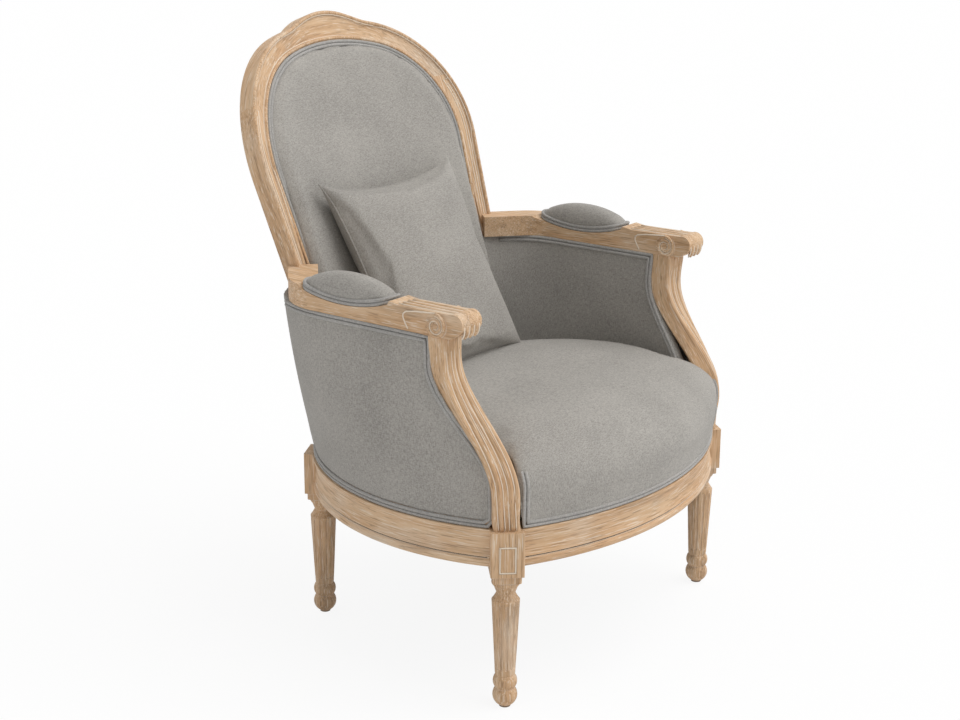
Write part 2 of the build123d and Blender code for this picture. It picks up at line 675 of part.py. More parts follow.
with BuildPart() as back_welt:
    extrude(bow_section(-WELT_HEIGHT, WELT_HEIGHT), amount=slab_length)
    with BuildSketch(back_plane):
        add(inner_arch(SOFT_GAP, STILE_FOOT))
        add(inner_arch(SOFT_GAP + WELT_WIDTH, BACK_PAD_FOOT), mode=Mode.SUBTRACT)
    extrude(amount=BACK_HALF_WIDTH, both=True, mode=Mode.INTERSECT)
back_welt.part.label = "back_welt"
export_step(back_welt.part, "parts/back_welt.step")

# Side wall between the arm and the rail: plan points at a share of its height, moved in from its face
wall_radius = SIDE_RAIL_RADIUS + RAIL_DEPTH / 2 - REBATE
wall_offset = ARM_WIDTH / 2 - WELT_HEIGHT + 1
bend_middle = ARM_BEND_ANGLE / 2


def arm_point(along, offset):
    """Plan point beside the arm's middle line, counted from the post (0) to the stile (4)."""
    bend_x = ARM_X - ARM_BEND_RADIUS
    if along < 3:
        return Vector(ARM_X + offset, between(POST_TOP_Y, ARM_BEND_Y, along / WALL_BEND_STEP))
    angle = radians(bend_middle if along == 3 else ARM_BEND_ANGLE)
    tail = 0 if along == 3 else ARM_TAIL + WALL_WRAP
    on_bend = Vector(bend_x, ARM_BEND_Y) + Vector(cos(angle), sin(angle)) * (ARM_BEND_RADIUS + offset)
    return on_bend + Vector(-sin(angle), cos(angle)) * tail


def wall_points(rise, inset, swell):
    """Five plan points of the left side wall, from the arm post to the back post."""
    bulge = swell * 4 * rise * (1 - rise)
    points = []
    for along in range(5):
        angle = radians(between(side_start + WALL_START, side_end, along / 4))
        radius = wall_radius - inset * WALL_FOOT + bulge
        low = Vector(side_centre.X + radius * cos(angle), side_centre.Y + radius * sin(angle))
        high = arm_point(along, wall_offset - inset * WALL_HEAD + bulge)
        points.append(low + (high - low) * rise)
    return points


def wall_section(height, outside, inside, swell):
    """Plan section of a layer of the side wall between two shares of its thickness."""
    rise = max(height - TACK_TOP, 0) / (ARM_BOTTOM - TACK_TOP)
    outer = wall_points(rise, outside, swell)
    inner = wall_points(rise, inside, swell)
    with BuildSketch(Plane.XY.offset(height)) as section:
        with BuildLine():
            Spline(*outer)
            Line(outer[-1], inner[-1])
            Spline(*reversed(inner))
            Line(inner[0], outer[0])
        make_face()
    return section.sketch


def wall_layer(outside, inside, swell, low):
    """Layer of the side wall from a height up to the arm."""
    head = ARM_BOTTOM - SOFT_GAP
    heights = [between(low, head, step / WALL_STEPS) for step in range(WALL_STEPS + 1)]
    return loft([wall_section(height, outside, inside, swell) for height in heights], mode=Mode.PRIVATE)


def behind_line(line, shift, low, high):
    """Side view of what lies behind a line that follows the S-bend of the arm post."""
    foot_y, head_y = line
    steps = [between(low, high, step / POST_STEPS) for step in range(POST_STEPS + 1)]
    rear = BACK_Y + BACK_HALF_WIDTH
    with BuildSketch() as region:
        with BuildLine():
            edge = Spline(*[(between(foot_y, head_y, ease(step)) + shift, step) for step in steps])
            Polyline(edge @ 1, (rear, high), (rear, low), edge @ 0)
        make_face()
    return region.sketch


def border_band(line, low):
    """Side view of a welt's route: under the arm, down the post and along the foot."""
    with BuildSketch() as band:
        add(behind_line(line, 0, low, ARM_BOTTOM))
        window = behind_line(line, WELT_WIDTH, low + WELT_WIDTH, ARM_BOTTOM - WELT_WIDTH)
        add(window, mode=Mode.SUBTRACT)
    return band.sketch


# Shares of the wall's thickness taken by its layers
outer_share = OUTER_PANEL / WALL_FOOT
inner_share = INNER_PAD / WALL_FOOT
welt_share = WELT_HEIGHT / WALL_FOOT
gap_share = SOFT_GAP / WALL_FOOT
welt_foot = RAIL_TOP + SOFT_GAP

# Rebates of the arm post that the outside and inside covers are tacked into
with BuildPart() as outer_room:
    add(wall_layer(-welt_share - 2 * gap_share, outer_share + gap_share, WALL_SWELL, RAIL_TOP))
    with BuildSketch(Plane.YZ):
        add(behind_line(OUTER_LINE, -SOFT_GAP, RAIL_TOP, ARM_BOTTOM))
    extrude(amount=2 * ARM_X, mode=Mode.INTERSECT)
with BuildPart() as inner_room:
    add(wall_layer(1 - inner_share - gap_share, 1 + welt_share + 2 * gap_share, -WALL_SWELL, RAIL_TOP))
    with BuildSketch(Plane.YZ):
        add(behind_line(INNER_LINE, -SOFT_GAP, RAIL_TOP, ARM_BOTTOM))
    extrude(amount=2 * ARM_X, mode=Mode.INTERSECT)

# S-shaped arm post, lofted through sections that move back and turn as they rise
post_heights = [between(RAIL_TOP, ARM_BOTTOM, step / POST_STEPS) for step in range(POST_STEPS + 1)]
with BuildPart() as arm_post_left:
    loft([post_section(height) for height in post_heights])
    add(arm_left.part, mode=Mode.SUBTRACT)
    add(outer_room.part, mode=Mode.SUBTRACT)
    add(inner_room.part, mode=Mode.SUBTRACT)
    with Locations(Location((FRONT_LEG_X, FRONT_LEG_Y, RAIL_TOP), (180, 0, 0))):
        Hole(DOWEL_DIAMETER / 2 + DOWEL_GAP, DOWEL_LENGTH / 2 + 1)
    with Locations((ARM_X, POST_TOP_Y, ARM_BOTTOM)):
        Hole(DOWEL_DIAMETER / 2 + DOWEL_GAP, DOWEL_LENGTH / 2 + 1)
arm_post_left.part.label = "arm_post_left"
export_step(arm_post_left.part, "parts/arm_post_left.step")

# Outside arm: a cover stretched over the wall, and the double welt round its edge
with BuildPart() as outer_arm_panel_left:
    add(wall_layer(0, outer_share, WALL_SWELL, TACK_TOP))
    with BuildSketch(Plane.YZ):
        add(behind_line(OUTER_LINE, 0, RAIL_TOP, ARM_BOTTOM))
    extrude(amount=2 * ARM_X, mode=Mode.INTERSECT)
    add(back_post_left.part, mode=Mode.SUBTRACT)
    add(back_stile_left.part, mode=Mode.SUBTRACT)
outer_arm_panel_left.part.label = "outer_arm_panel_left"
export_step(outer_arm_panel_left.part, "parts/outer_arm_panel_left.step")

with BuildPart() as outer_arm_welt_left:
    add(wall_layer(-welt_share, -gap_share, WALL_SWELL, welt_foot))
    with BuildSketch(Plane.YZ):
        add(border_band(OUTER_LINE, welt_foot))
    extrude(amount=2 * ARM_X, mode=Mode.INTERSECT)
    add(leg_parts["rear_leg_left"], mode=Mode.SUBTRACT)
outer_arm_welt_left.part.label = "outer_arm_welt_left"
export_step(outer_arm_welt_left.part, "parts/outer_arm_welt_left.step")

# Inside arm: a pad that runs back to the side of the inside back, and its welt
with BuildPart() as inner_wall:
    add(wall_layer(1 - inner_share, 1, -WALL_SWELL, TACK_TOP))
    with BuildSketch(Plane.YZ):
        add(behind_line(INNER_LINE, 0, RAIL_TOP, ARM_BOTTOM))
    extrude(amount=2 * ARM_X, mode=Mode.INTERSECT)
    add(back_pad(0), mode=Mode.SUBTRACT)
    add(back_post_left.part, mode=Mode.SUBTRACT)
with BuildPart() as inner_arm_pad_left:
    add(inner_wall.solids().sort_by(SortBy.VOLUME)[-1])
inner_arm_pad_left.part.label = "inner_arm_pad_left"
export_step(inner_arm_pad_left.part, "parts/inner_arm_pad_left.step")

with BuildPart() as inner_welt_strip:
    add(wall_layer(1 + gap_share, 1 + welt_share, -WALL_SWELL, TACK_TOP))
    with BuildSketch(Plane.YZ):
        add(border_band(INNER_LINE, INNER_WELT_FOOT))
        add(behind_line(INNER_LINE, 0, INNER_WELT_FOOT + WELT_WIDTH, ARM_BOTTOM), mode=Mode.INTERSECT)
    extrude(amount=2 * ARM_X, mode=Mode.INTERSECT)
    add(back_pad(0), mode=Mode.SUBTRACT)
with BuildPart() as inner_arm_welt_left:
    add(inner_welt_strip.solids().sort_by(SortBy.VOLUME)[-1])
inner_arm_welt_left.part.label = "inner_arm_welt_left"
export_step(inner_arm_welt_left.part, "parts/inner_arm_welt_left.step")

# Seat: a crowned cushion built onto the frame, with its cover drawn down to the rails
seat_front_radius = FRONT_RAIL_RADIUS + RAIL_DEPTH / 2 - REBATE
seat_side_x = side_centre.X + wall_radius - WALL_FOOT + SEAT_TUCK
spring_z = TACK_TOP + SPRING_WIRE / 2
burlap_z = TACK_TOP + CLIP_HEIGHT
foam_z = burlap_z + BURLAP


def seat_outline(height, inset):
    """Plan outline of the seat at a height, moved in by an inset: four bowed sides, rounded corners."""
    radius = seat_front_radius - inset
    corner_x = SEAT_FRONT_HALF - inset
    corner = (corner_x, front_centre.Y - sqrt(radius**2 - corner_x**2))
    rear = (SEAT_REAR_HALF - inset, SEAT_REAR_Y - inset)
    side_x = seat_side_x - inset
    with BuildSketch(Plane.XY.offset(height)) as outline:
        with BuildLine():
            ThreePointArc((-corner[0], corner[1]), (0, front_centre.Y - radius), corner)
            ThreePointArc(corner, (side_x, side_centre.Y), rear)
            ThreePointArc(rear, (0, rear[1] + SEAT_REAR_BOW), (-rear[0], rear[1]))
            ThreePointArc((-rear[0], rear[1]), (-side_x, side_centre.Y), (-corner[0], corner[1]))
        make_face()
        fillet(outline.vertices(), SEAT_CORNER)
    return outline.sketch


# Space of the inside back, which the seat is cut back from
room_plane = Plane(origin=bow_plane.origin - slope_up * SEAT_CROWN / 4, x_dir=(1, 0, 0), z_dir=slope_up)
with BuildPart() as back_room:
    with BuildSketch(room_plane):
        with Locations((0, -BACK_PAD_RADIUS)):
            Circle(BACK_PAD_RADIUS + BACK_HALF_WIDTH)
            Circle(BACK_PAD_RADIUS - SEAT_BACK_GAP, mode=Mode.SUBTRACT)
        Rectangle(2 * ARM_X, 2 * BACK_HALF_WIDTH, mode=Mode.INTERSECT)
    extrude(amount=SEAT_CROWN)


def seat_body(shrink, low):
    """Crowned seat between the arms, smaller by a shrink, from a height up."""
    crown = SEAT_CROWN - shrink
    layers = [seat_outline(between(low, crown, share), inset + shrink) for share, inset in SEAT_LAYERS]
    with BuildPart() as body:
        loft(layers, ruled=True)
        for side_part in (inner_arm_pad_left, inner_arm_welt_left, arm_post_left, back_post_left):
            add(side_part.part, mode=Mode.SUBTRACT)
            mirror(side_part.part, about=Plane.YZ, mode=Mode.SUBTRACT)
        add(outer_arm_panel_left.part, mode=Mode.SUBTRACT)
        mirror(outer_arm_panel_left.part, about=Plane.YZ, mode=Mode.SUBTRACT)
        add(back_room.part, mode=Mode.SUBTRACT)
    return body.solids().sort_by(SortBy.VOLUME)[-1]


def rail_outline(height):
    """Plan area inside the middle lines of the four rails."""
    side_far = Vector(side_centre.X + SIDE_RAIL_RADIUS, side_centre.Y)
    with BuildSketch(Plane.XY.offset(height)) as outline:
        with BuildLine():
            ThreePointArc(front_leg_far, (0, front_centre.Y - FRONT_RAIL_RADIUS), front_leg)
            ThreePointArc(front_leg, (side_far.X, side_far.Y), rear_leg)
            ThreePointArc(rear_leg, (0, back_centre.Y + BACK_RAIL_RADIUS), rear_leg_far)
            ThreePointArc(rear_leg_far, (-side_far.X, side_far.Y), front_leg_far)
        make_face()
    return outline.sketch


with BuildPart() as seat_foam:
    add(seat_body(COVER, foam_z))
seat_foam.part.label = "seat_foam"
export_step(seat_foam.part, "parts/seat_foam.step")

with BuildPart() as seat_skin:
    add(seat_body(0, TACK_TOP + SOFT_GAP))
    extrude(rail_outline(TACK_TOP), amount=foam_z - TACK_TOP, mode=Mode.SUBTRACT)
    add(seat_foam.part, mode=Mode.SUBTRACT)
with BuildPart() as seat_cover:
    add(seat_skin.solids().sort_by(SortBy.VOLUME)[-1])
seat_cover.part.label = "seat_cover"
export_step(seat_cover.part, "parts/seat_cover.step")

# Double welt along the front of the seat, two cords side by side on the front rail's tack strip
cord = (WELT_WIDTH - 2 * SOFT_GAP) / 4
with BuildPart() as seat_welt:
    with BuildSketch(upright_plane(front_centre, front_start)):
        with Locations((seat_front_radius + SOFT_GAP + cord, RAIL_TOP + SOFT_GAP + 2 * cord)):
            with GridLocations(1, 2 * cord - SOFT_GAP, 1, 2):
                Circle(cord)
            Rectangle(cord, 2 * cord)
        with Locations((seat_front_radius + SOFT_GAP, RAIL_TOP)):
            Rectangle(2 * cord, WELT_WIDTH, align=(Align.MIN, Align.MIN), mode=Mode.INTERSECT)
    revolve(axis=Axis((front_centre.X, front_centre.Y, 0), (0, 0, 1)), revolution_arc=front_end - front_start)
    for side_part in (arm_post_left.part, outer_arm_welt_left.part, inner_arm_pad_left.part):
        add(side_part, mode=Mode.SUBTRACT)
        mirror(side_part, about=Plane.YZ, mode=Mode.SUBTRACT)
    for leg_part in leg_parts.values():
        add(leg_part, mode=Mode.SUBTRACT)
seat_welt.part.label = "seat_welt"
export_step(seat_welt.part, "parts/seat_welt.step")

# Zigzag springs from the front rail to the back rail, with a clip over each end
spring_places = [SPRING_PITCH * (step - (SPRING_COUNT - 1) / 2) for step in range(SPRING_COUNT)]
spring_front = FRONT_RAIL_RADIUS - CLIP_INSET
spring_rear = BACK_RAIL_RADIUS - CLIP_INSET
with BuildPart() as seat_springs:
    for spring_x in spring_places:
        front_y = front_centre.Y - sqrt(spring_front**2 - spring_x**2)
        rear_y = back_centre.Y + sqrt(spring_rear**2 - spring_x**2)
        wave = [(spring_x, front_y, spring_z)]
        for step in range(1, SPRING_WAVES):
            side = SPRING_SWING if step % 2 else -SPRING_SWING
            wave.append((spring_x + side, between(front_y, rear_y, step / SPRING_WAVES), spring_z))
        wave.append((spring_x, rear_y, spring_z))
        with BuildLine():
            path = FilletPolyline(*wave, radius=SPRING_BEND)
        with BuildSketch(Plane(origin=path @ 0, z_dir=path % 0)):
            RegularPolygon(SPRING_WIRE / 2, SPRING_SIDES)
        sweep()
seat_springs.part.label = "seat_springs"
export_step(seat_springs.part, "parts/seat_springs.step")

with BuildPart() as spring_clips:
    for spring_x in spring_places:
        front_y = front_centre.Y - sqrt(spring_front**2 - spring_x**2)
        rear_y = back_centre.Y + sqrt(spring_rear**2 - spring_x**2)
        with Locations((spring_x, front_y, TACK_TOP), (spring_x, rear_y, TACK_TOP)):
            Box(CLIP_WIDTH, CLIP_WIDTH, CLIP_HEIGHT, align=(Align.CENTER, Align.CENTER, Align.MIN))
    add(seat_springs.part, mode=Mode.SUBTRACT)
spring_clips.part.label = "spring_clips"
export_step(spring_clips.part, "parts/spring_clips.step")


with BuildPart() as burlap_cut:
    extrude(rail_outline(burlap_z), amount=BURLAP)
    for side_part in (inner_arm_pad_left, outer_arm_panel_left, arm_post_left, back_post_left):
        add(side_part.part, mode=Mode.SUBTRACT)
        mirror(side_part.part, about=Plane.YZ, mode=Mode.SUBTRACT)
    add(seat_cover.part, mode=Mode.SUBTRACT)
with BuildPart() as seat_burlap:
    add(burlap_cut.solids().sort_by(SortBy.VOLUME)[-1])
seat_burlap.part.label = "seat_burlap"
export_step(seat_burlap.part, "parts/seat_burlap.step")

with BuildPart() as dust_cover:
    extrude(rail_outline(RAIL_BOTTOM), amount=-DUST_SHEET)
    add(block_cuts.part, mode=Mode.SUBTRACT)
dust_cover.part.label = "dust_cover"
export_step(dust_cover.part, "parts/dust_cover.step")

# Corner blocks glued across the corners behind the legs, each with a screw into its leg
with BuildPart() as corner_screws:
    for place, turn in leg_places.values():
        with Locations(Location((place[0], place[1], SCREW_Z), (0, 0, turn))):
            with Locations(Location((0, LEG_BLOCK / 2 + CORNER_BLOCK, 0), (90, 0, 0))):
                Cylinder(SCREW_DIAMETER / 2, SCREW_LENGTH, align=(Align.CENTER, Align.CENTER, Align.MIN))
                with Locations((0, 0, -SCREW_HEAD)):
                    Cylinder(SCREW_DIAMETER, SCREW_HEAD, align=(Align.CENTER, Align.CENTER, Align.MIN))
corner_screws.part.label = "corner_screws"
export_step(corner_screws.part, "parts/corner_screws.step")

with BuildPart() as corner_blocks:
    for place, turn in leg_places.values():
        with Locations(Location((place[0], place[1], SCREW_Z), (0, 0, turn))):
            with Locations((0, LEG_BLOCK / 2 + CORNER_BLOCK / 2, 0)):
                Box(CORNER_BLOCK_LENGTH, CORNER_BLOCK, CORNER_BLOCK_HEIGHT)
                with Locations(Location((0, 0, 0), (90, 0, 0))):
                    Cylinder(SCREW_DIAMETER / 2 + DOWEL_GAP, 2 * CORNER_BLOCK, mode=Mode.SUBTRACT)
    for rail_part in rail_parts.values():
        add(rail_part, mode=Mode.SUBTRACT)
    mirror(rail_parts["side_rail_left"], about=Plane.YZ, mode=Mode.SUBTRACT)
corner_blocks.part.label = "corner_blocks"
export_step(corner_blocks.part, "parts/corner_blocks.step")

# Hidden cross rail between the stiles at arm height, in front of the outside back
panel_rear = FRAME_DEPTH - 1
with BuildPart() as back_cross_rail:
    extrude(bow_section(BACK_PAD_DEPTH + SOFT_GAP, panel_rear - BACK_SHEET), amount=slab_length)
    with BuildSketch(back_plane):
        add(inner_arch(0, STILE_FOOT))
        with Locations((0, STILE_FOOT + 4)):
            Rectangle(2 * ARM_X, CROSS_RAIL, align=(Align.CENTER, Align.MIN), mode=Mode.INTERSECT)
    extrude(amount=BACK_HALF_WIDTH, both=True, mode=Mode.INTERSECT)
    add(back_slab(0), mode=Mode.SUBTRACT)
back_cross_rail.part.label = "back_cross_rail"
export_step(back_cross_rail.part, "parts/back_cross_rail.step")

# Outside back: set into the frame above the arms, and drawn straight down to the back rail below them
panel_head = back_plane.from_local_coords((0, STILE_FOOT, -panel_rear))
back_tack_radius = BACK_RAIL_RADIUS + RAIL_DEPTH / 2 - REBATE


def apron_section(height, half_width, side_y, middle_y):
    """Plan strip of the outside back below the arms."""
    with BuildSketch(Plane.XY.offset(height)) as strip:
        with BuildLine():
            ThreePointArc((-half_width, side_y), (0, middle_y), (half_width, side_y))
            Line((half_width, side_y), (half_width, side_y - BACK_SHEET))
            inner_side = side_y - BACK_SHEET
            ThreePointArc((half_width, inner_side), (0, middle_y - BACK_SHEET), (-half_width, inner_side))
            Line((-half_width, inner_side), (-half_width, side_y))
        make_face()
    return strip.sketch


apron_foot_y = back_centre.Y + back_tack_radius
apron_foot_side = back_centre.Y + sqrt(back_tack_radius**2 - APRON_FOOT_HALF**2)
apron_head_side = panel_head.Y - APRON_HEAD_HALF**2 / 2 / BACK_BOW_RADIUS
with BuildPart() as back_sheet:
    extrude(bow_section(panel_rear - BACK_SHEET, panel_rear), amount=slab_length)
    with BuildSketch(back_plane):
        add(inner_arch(WELT_WIDTH + 2 * SOFT_GAP, STILE_FOOT))
    extrude(amount=BACK_HALF_WIDTH, both=True, mode=Mode.INTERSECT)
    loft(
        [
            apron_section(TACK_TOP, APRON_FOOT_HALF, apron_foot_side, apron_foot_y),
            apron_section(panel_head.Z + 1, APRON_HEAD_HALF, apron_head_side, panel_head.Y),
        ]
    )
    for side_part in (back_stile_left, back_post_left, outer_arm_panel_left, outer_arm_welt_left):
        add(side_part.part, mode=Mode.SUBTRACT)
        mirror(side_part.part, about=Plane.YZ, mode=Mode.SUBTRACT)
with BuildPart() as outside_back_panel:
    add(back_sheet.solids().sort_by(SortBy.VOLUME)[-1])
outside_back_panel.part.label = "outside_back_panel"
export_step(outside_back_panel.part, "parts/outside_back_panel.step")

with BuildPart() as outside_back_welt:
    extrude(bow_section(panel_rear - BACK_SHEET, panel_rear + WELT_HEIGHT), amount=slab_length)
    with BuildSketch(back_plane):
        add(inner_arch(SOFT_GAP, STILE_FOOT))
        add(inner_arch(SOFT_GAP + WELT_WIDTH, BACK_PAD_FOOT), mode=Mode.SUBTRACT)
    extrude(amount=BACK_HALF_WIDTH, both=True, mode=Mode.INTERSECT)
    add(outside_back_panel.part, mode=Mode.SUBTRACT)
outside_back_welt.part.label = "outside_back_welt"
export_step(outside_back_welt.part, "parts/outside_back_welt.step")

# Arm pads: foam and cover in the cradle of the arm, with a double welt round the base
pad_centre_y = (ARM_PAD_FRONT + ARM_PAD_REAR) / 2


def pad_slot(height, inset):
    """Long rounded outline of an arm pad at a height, moved in by an inset."""
    with BuildSketch(Plane.XY.offset(height)) as slot:
        with Locations((ARM_X, pad_centre_y)):
            length = ARM_PAD_REAR - ARM_PAD_FRONT - 2 * inset
            SlotOverall(length, ARM_WIDTH - 2 * inset, rotation=90)
    return slot.sketch


with BuildPart() as arm_pad_welt_left:
    with BuildSketch(Plane.YZ):
        with BuildLine():
            front_low = (ARM_PAD_FRONT, cradle_z)
            rear_low = (ARM_PAD_REAR, cradle_z)
            front_high = (ARM_PAD_FRONT, cradle_z + WELT_WIDTH)
            rear_high = (ARM_PAD_REAR, cradle_z + WELT_WIDTH)
            dip = cradle_z - ARM_PAD_SCOOP
            ThreePointArc(rear_low, (pad_centre_y, dip), front_low)
            Line(front_low, front_high)
            ThreePointArc(front_high, (pad_centre_y, dip + WELT_WIDTH), rear_high)
            Line(rear_high, rear_low)
        make_face()
    extrude(amount=2 * ARM_X)
    with BuildSketch(Plane.XY.offset(ARM_BOTTOM)):
        add(pad_slot(0, PAD_WELT_EDGE))
        add(pad_slot(0, PAD_WELT_EDGE + WELT_HEIGHT), mode=Mode.SUBTRACT)
    extrude(amount=ARM_TOP, mode=Mode.INTERSECT)
    add(arm_left.part, mode=Mode.SUBTRACT)
arm_pad_welt_left.part.label = "arm_pad_welt_left"
export_step(arm_pad_welt_left.part, "parts/arm_pad_welt_left.step")


def arm_pad(shrink):
    """Crowned pad above the cradle, smaller by a shrink."""
    low = cradle_z - ARM_PAD_SCOOP
    high = ARM_TOP + ARM_PAD_CROWN - ARM_CRADLE_STEP - shrink
    with BuildPart() as pad:
        loft([pad_slot(between(low, high, share), inset + shrink) for share, inset in PAD_LAYERS])
        add(arm_left.part, mode=Mode.SUBTRACT)
        add(arm_pad_welt_left.part, mode=Mode.SUBTRACT)
    return pad.part


with BuildPart() as arm_pad_foam_left:
    add(arm_pad(COVER))
arm_pad_foam_left.part.label = "arm_pad_foam_left"
export_step(arm_pad_foam_left.part, "parts/arm_pad_foam_left.step")

with BuildPart() as arm_pad_cover_left:
    add(arm_pad(0))
    add(arm_pad_foam_left.part, mode=Mode.SUBTRACT)
arm_pad_cover_left.part.label = "arm_pad_cover_left"
export_step(arm_pad_cover_left.part, "parts/arm_pad_cover_left.step")

# Loose pillow that leans on the inside back: two crowned halves that meet in a knife edge
lean = radians(PILLOW_LEAN)
pillow_up = Vector(0, sin(lean), cos(lean))
pillow_out = Vector(0, -cos(lean), sin(lean))
pillow_middle = Vector(PILLOW_X, PILLOW_FOOT_Y, PILLOW_FOOT_Z) + pillow_up * (PILLOW_HEIGHT / 2)
pillow_plane = Plane(origin=pillow_middle, x_dir=(1, 0, 0), z_dir=pillow_out)


def pillow_outline(depth, inset, sag):
    """Square outline of the pillow at a depth from its seam, its sides drawn in by a sag."""
    half_x = PILLOW_WIDTH / 2 - inset
    half_y = PILLOW_HEIGHT / 2 - inset
    with BuildSketch(pillow_plane.offset(depth)) as outline:
        with BuildLine():
            ThreePointArc((-half_x, -half_y), (0, sag - half_y), (half_x, -half_y))
            ThreePointArc((half_x, -half_y), (half_x - sag, 0), (half_x, half_y))
            ThreePointArc((half_x, half_y), (0, half_y - sag), (-half_x, half_y))
            ThreePointArc((-half_x, half_y), (sag - half_x, 0), (-half_x, -half_y))
        make_face()
    return outline.sketch


def pillow_body(shrink):
    """Filled pillow, smaller all round by a shrink."""
    half = PILLOW_THICKNESS / 2 - shrink
    layers = [pillow_outline(half * share, inset + shrink, sag) for share, inset, sag in PILLOW_LAYERS]
    with BuildPart() as body:
        loft(layers, ruled=True)
        mirror(about=pillow_plane)
    return body.part


with BuildPart() as pillow_insert:
    add(pillow_body(COVER + 1))
pillow_insert.part.label = "pillow_insert"
export_step(pillow_insert.part, "parts/pillow_insert.step")

with BuildPart() as pillow_cover:
    add(pillow_body(0))
    add(pillow_insert.part, mode=Mode.SUBTRACT)
pillow_cover.part.label = "pillow_cover"
export_step(pillow_cover.part, "parts/pillow_cover.step")

# Right-hand copies of the left-hand parts
left_parts = {
    "back_stile": back_stile_left.part,
    "back_post": back_post_left.part,
    "arm": arm_left.part,
    "arm_post": arm_post_left.part,
    "outer_arm_panel": outer_arm_panel_left.part,
    "outer_arm_welt": outer_arm_welt_left.part,
    "inner_arm_pad": inner_arm_pad_left.part,
    "inner_arm_welt": inner_arm_welt_left.part,
    "arm_pad_foam": arm_pad_foam_left.part,
    "arm_pad_cover": arm_pad_cover_left.part,
    "arm_pad_welt": arm_pad_welt_left.part,
    "side_rail": rail_parts["side_rail_left"],
}
for name, left_part in left_parts.items():
    with BuildPart() as right_copy:
        mirror(left_part, about=Plane.YZ)
    right_copy.part.label = f"{name}_right"
    export_step(right_copy.part, f"parts/{name}_right.step")
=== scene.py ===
"""Looks of the armchair: limed oak, grey linen, double welts, carved trim and the loose pillow."""

from math import acos, atan2, cos, pi, radians, sin, sqrt, tau

import bpy
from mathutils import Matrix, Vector


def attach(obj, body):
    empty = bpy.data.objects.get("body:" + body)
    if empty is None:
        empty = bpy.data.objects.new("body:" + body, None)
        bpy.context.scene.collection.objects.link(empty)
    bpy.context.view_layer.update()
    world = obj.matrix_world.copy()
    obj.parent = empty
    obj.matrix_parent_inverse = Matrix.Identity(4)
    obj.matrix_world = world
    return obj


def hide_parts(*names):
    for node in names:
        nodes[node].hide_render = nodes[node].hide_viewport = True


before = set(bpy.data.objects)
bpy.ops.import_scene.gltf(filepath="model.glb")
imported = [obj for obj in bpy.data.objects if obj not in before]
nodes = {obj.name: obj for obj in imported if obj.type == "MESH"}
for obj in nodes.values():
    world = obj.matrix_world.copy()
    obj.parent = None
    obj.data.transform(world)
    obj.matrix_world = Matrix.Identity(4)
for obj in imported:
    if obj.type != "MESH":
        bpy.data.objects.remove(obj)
scene = bpy.context.scene
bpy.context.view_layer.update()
CHAIR = "chair"
PILLOW = "pillow"
SIDES = {"left": 1, "right": -1}

# Layout of the chair, in millimetres and degrees, that the grain, the welts and the trim follow
FRONT_LEG = (298, -272)
FRONT_TURN = 48.6
REAR_LEG = (210, 180)
REAR_TURN = 151.7
RAIL_TOP = 298
FRONT_CENTRE = (0, 184.3)
FRONT_RADIUS = 562
BACK_CENTRE = (0, -623.0)
BACK_RADIUS = 847
SIDE_CENTRE = (-46.4, -104.5)
SIDE_RADIUS = 400
POST_BEND = 101
BEND_LOW = 362
BEND_HIGH = 550
ARM_X = 328
ARM_BOTTOM = 594
PAD_MIDDLE = 6
PAD_HALF = 92
BACK_PLACE = Vector((0, 206, 620))
BOW_RADIUS = 1065
TILT = radians(20.2)

# Edges of the back frame: half width, half width at the foot, shoulder and arch radius, rise
INNER_ARCH = (246, 226, 190, 390, 366)
OUTER_ARCH = (282, 262, 222, 430, 404)


def leaning(angle):
    """Directions up a face that leans back by an angle, and out of it."""
    return Vector((0, sin(angle), cos(angle))), Vector((0, -cos(angle), sin(angle)))


def deselect():
    """Leaves object mode with nothing selected."""
    if bpy.context.object and bpy.context.object.mode != "OBJECT":
        bpy.ops.object.mode_set(mode="OBJECT")
    bpy.ops.object.select_all(action="DESELECT")


def pick(piece):
    """Makes one object the only selected and active one."""
    deselect()
    piece.select_set(True)
    bpy.context.view_layer.objects.active = piece
    return piece


def settle(piece, material, slot, body, *stands_for):
    """Gives a finished piece its material, body and the solids it stands for; the slot is not used.
    """
    piece.data.materials.clear()
    piece.data.materials.append(material)
    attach(piece, body)
    if stands_for:
        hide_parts(*stands_for)


# Shader groups

COLOUR = "NodeSocketColor"
FLOAT = "NodeSocketFloat"
VECTOR = "NodeSocketVector"


def new_group(name, inputs, outputs):
    """Empty shader node group with its sockets: (name, socket type, default)."""
    tree = bpy.data.node_groups.new(name, "ShaderNodeTree")
    for title, kind, value in inputs:
        socket = tree.interface.new_socket(title, in_out="INPUT", socket_type=kind)
        if value is not None:
            socket.default_value = value
    for title, kind in outputs:
        tree.interface.new_socket(title, in_out="OUTPUT", socket_type=kind)
    return tree, tree.nodes.new("NodeGroupInput"), tree.nodes.new("NodeGroupOutput")


def math_node(tree, operation, first, second=None, clamp=False):
    """Math node fed by sockets or plain numbers."""
    node = tree.nodes.new("ShaderNodeMath")
    node.operation = operation
    node.use_clamp = clamp
    for spot, value in enumerate((first, second)):
        if value is None:
            continue
        if isinstance(value, (int, float)):
            node.inputs[spot].default_value = value
        else:
            tree.links.new(value, node.inputs[spot])
    return node.outputs[0]


def sum_of_products(tree, *pairs):
    """Sum of the products of two pairs of sockets or numbers."""
    first, second = [math_node(tree, "MULTIPLY", *pair) for pair in pairs]
    return math_node(tree, "ADD", first, second)


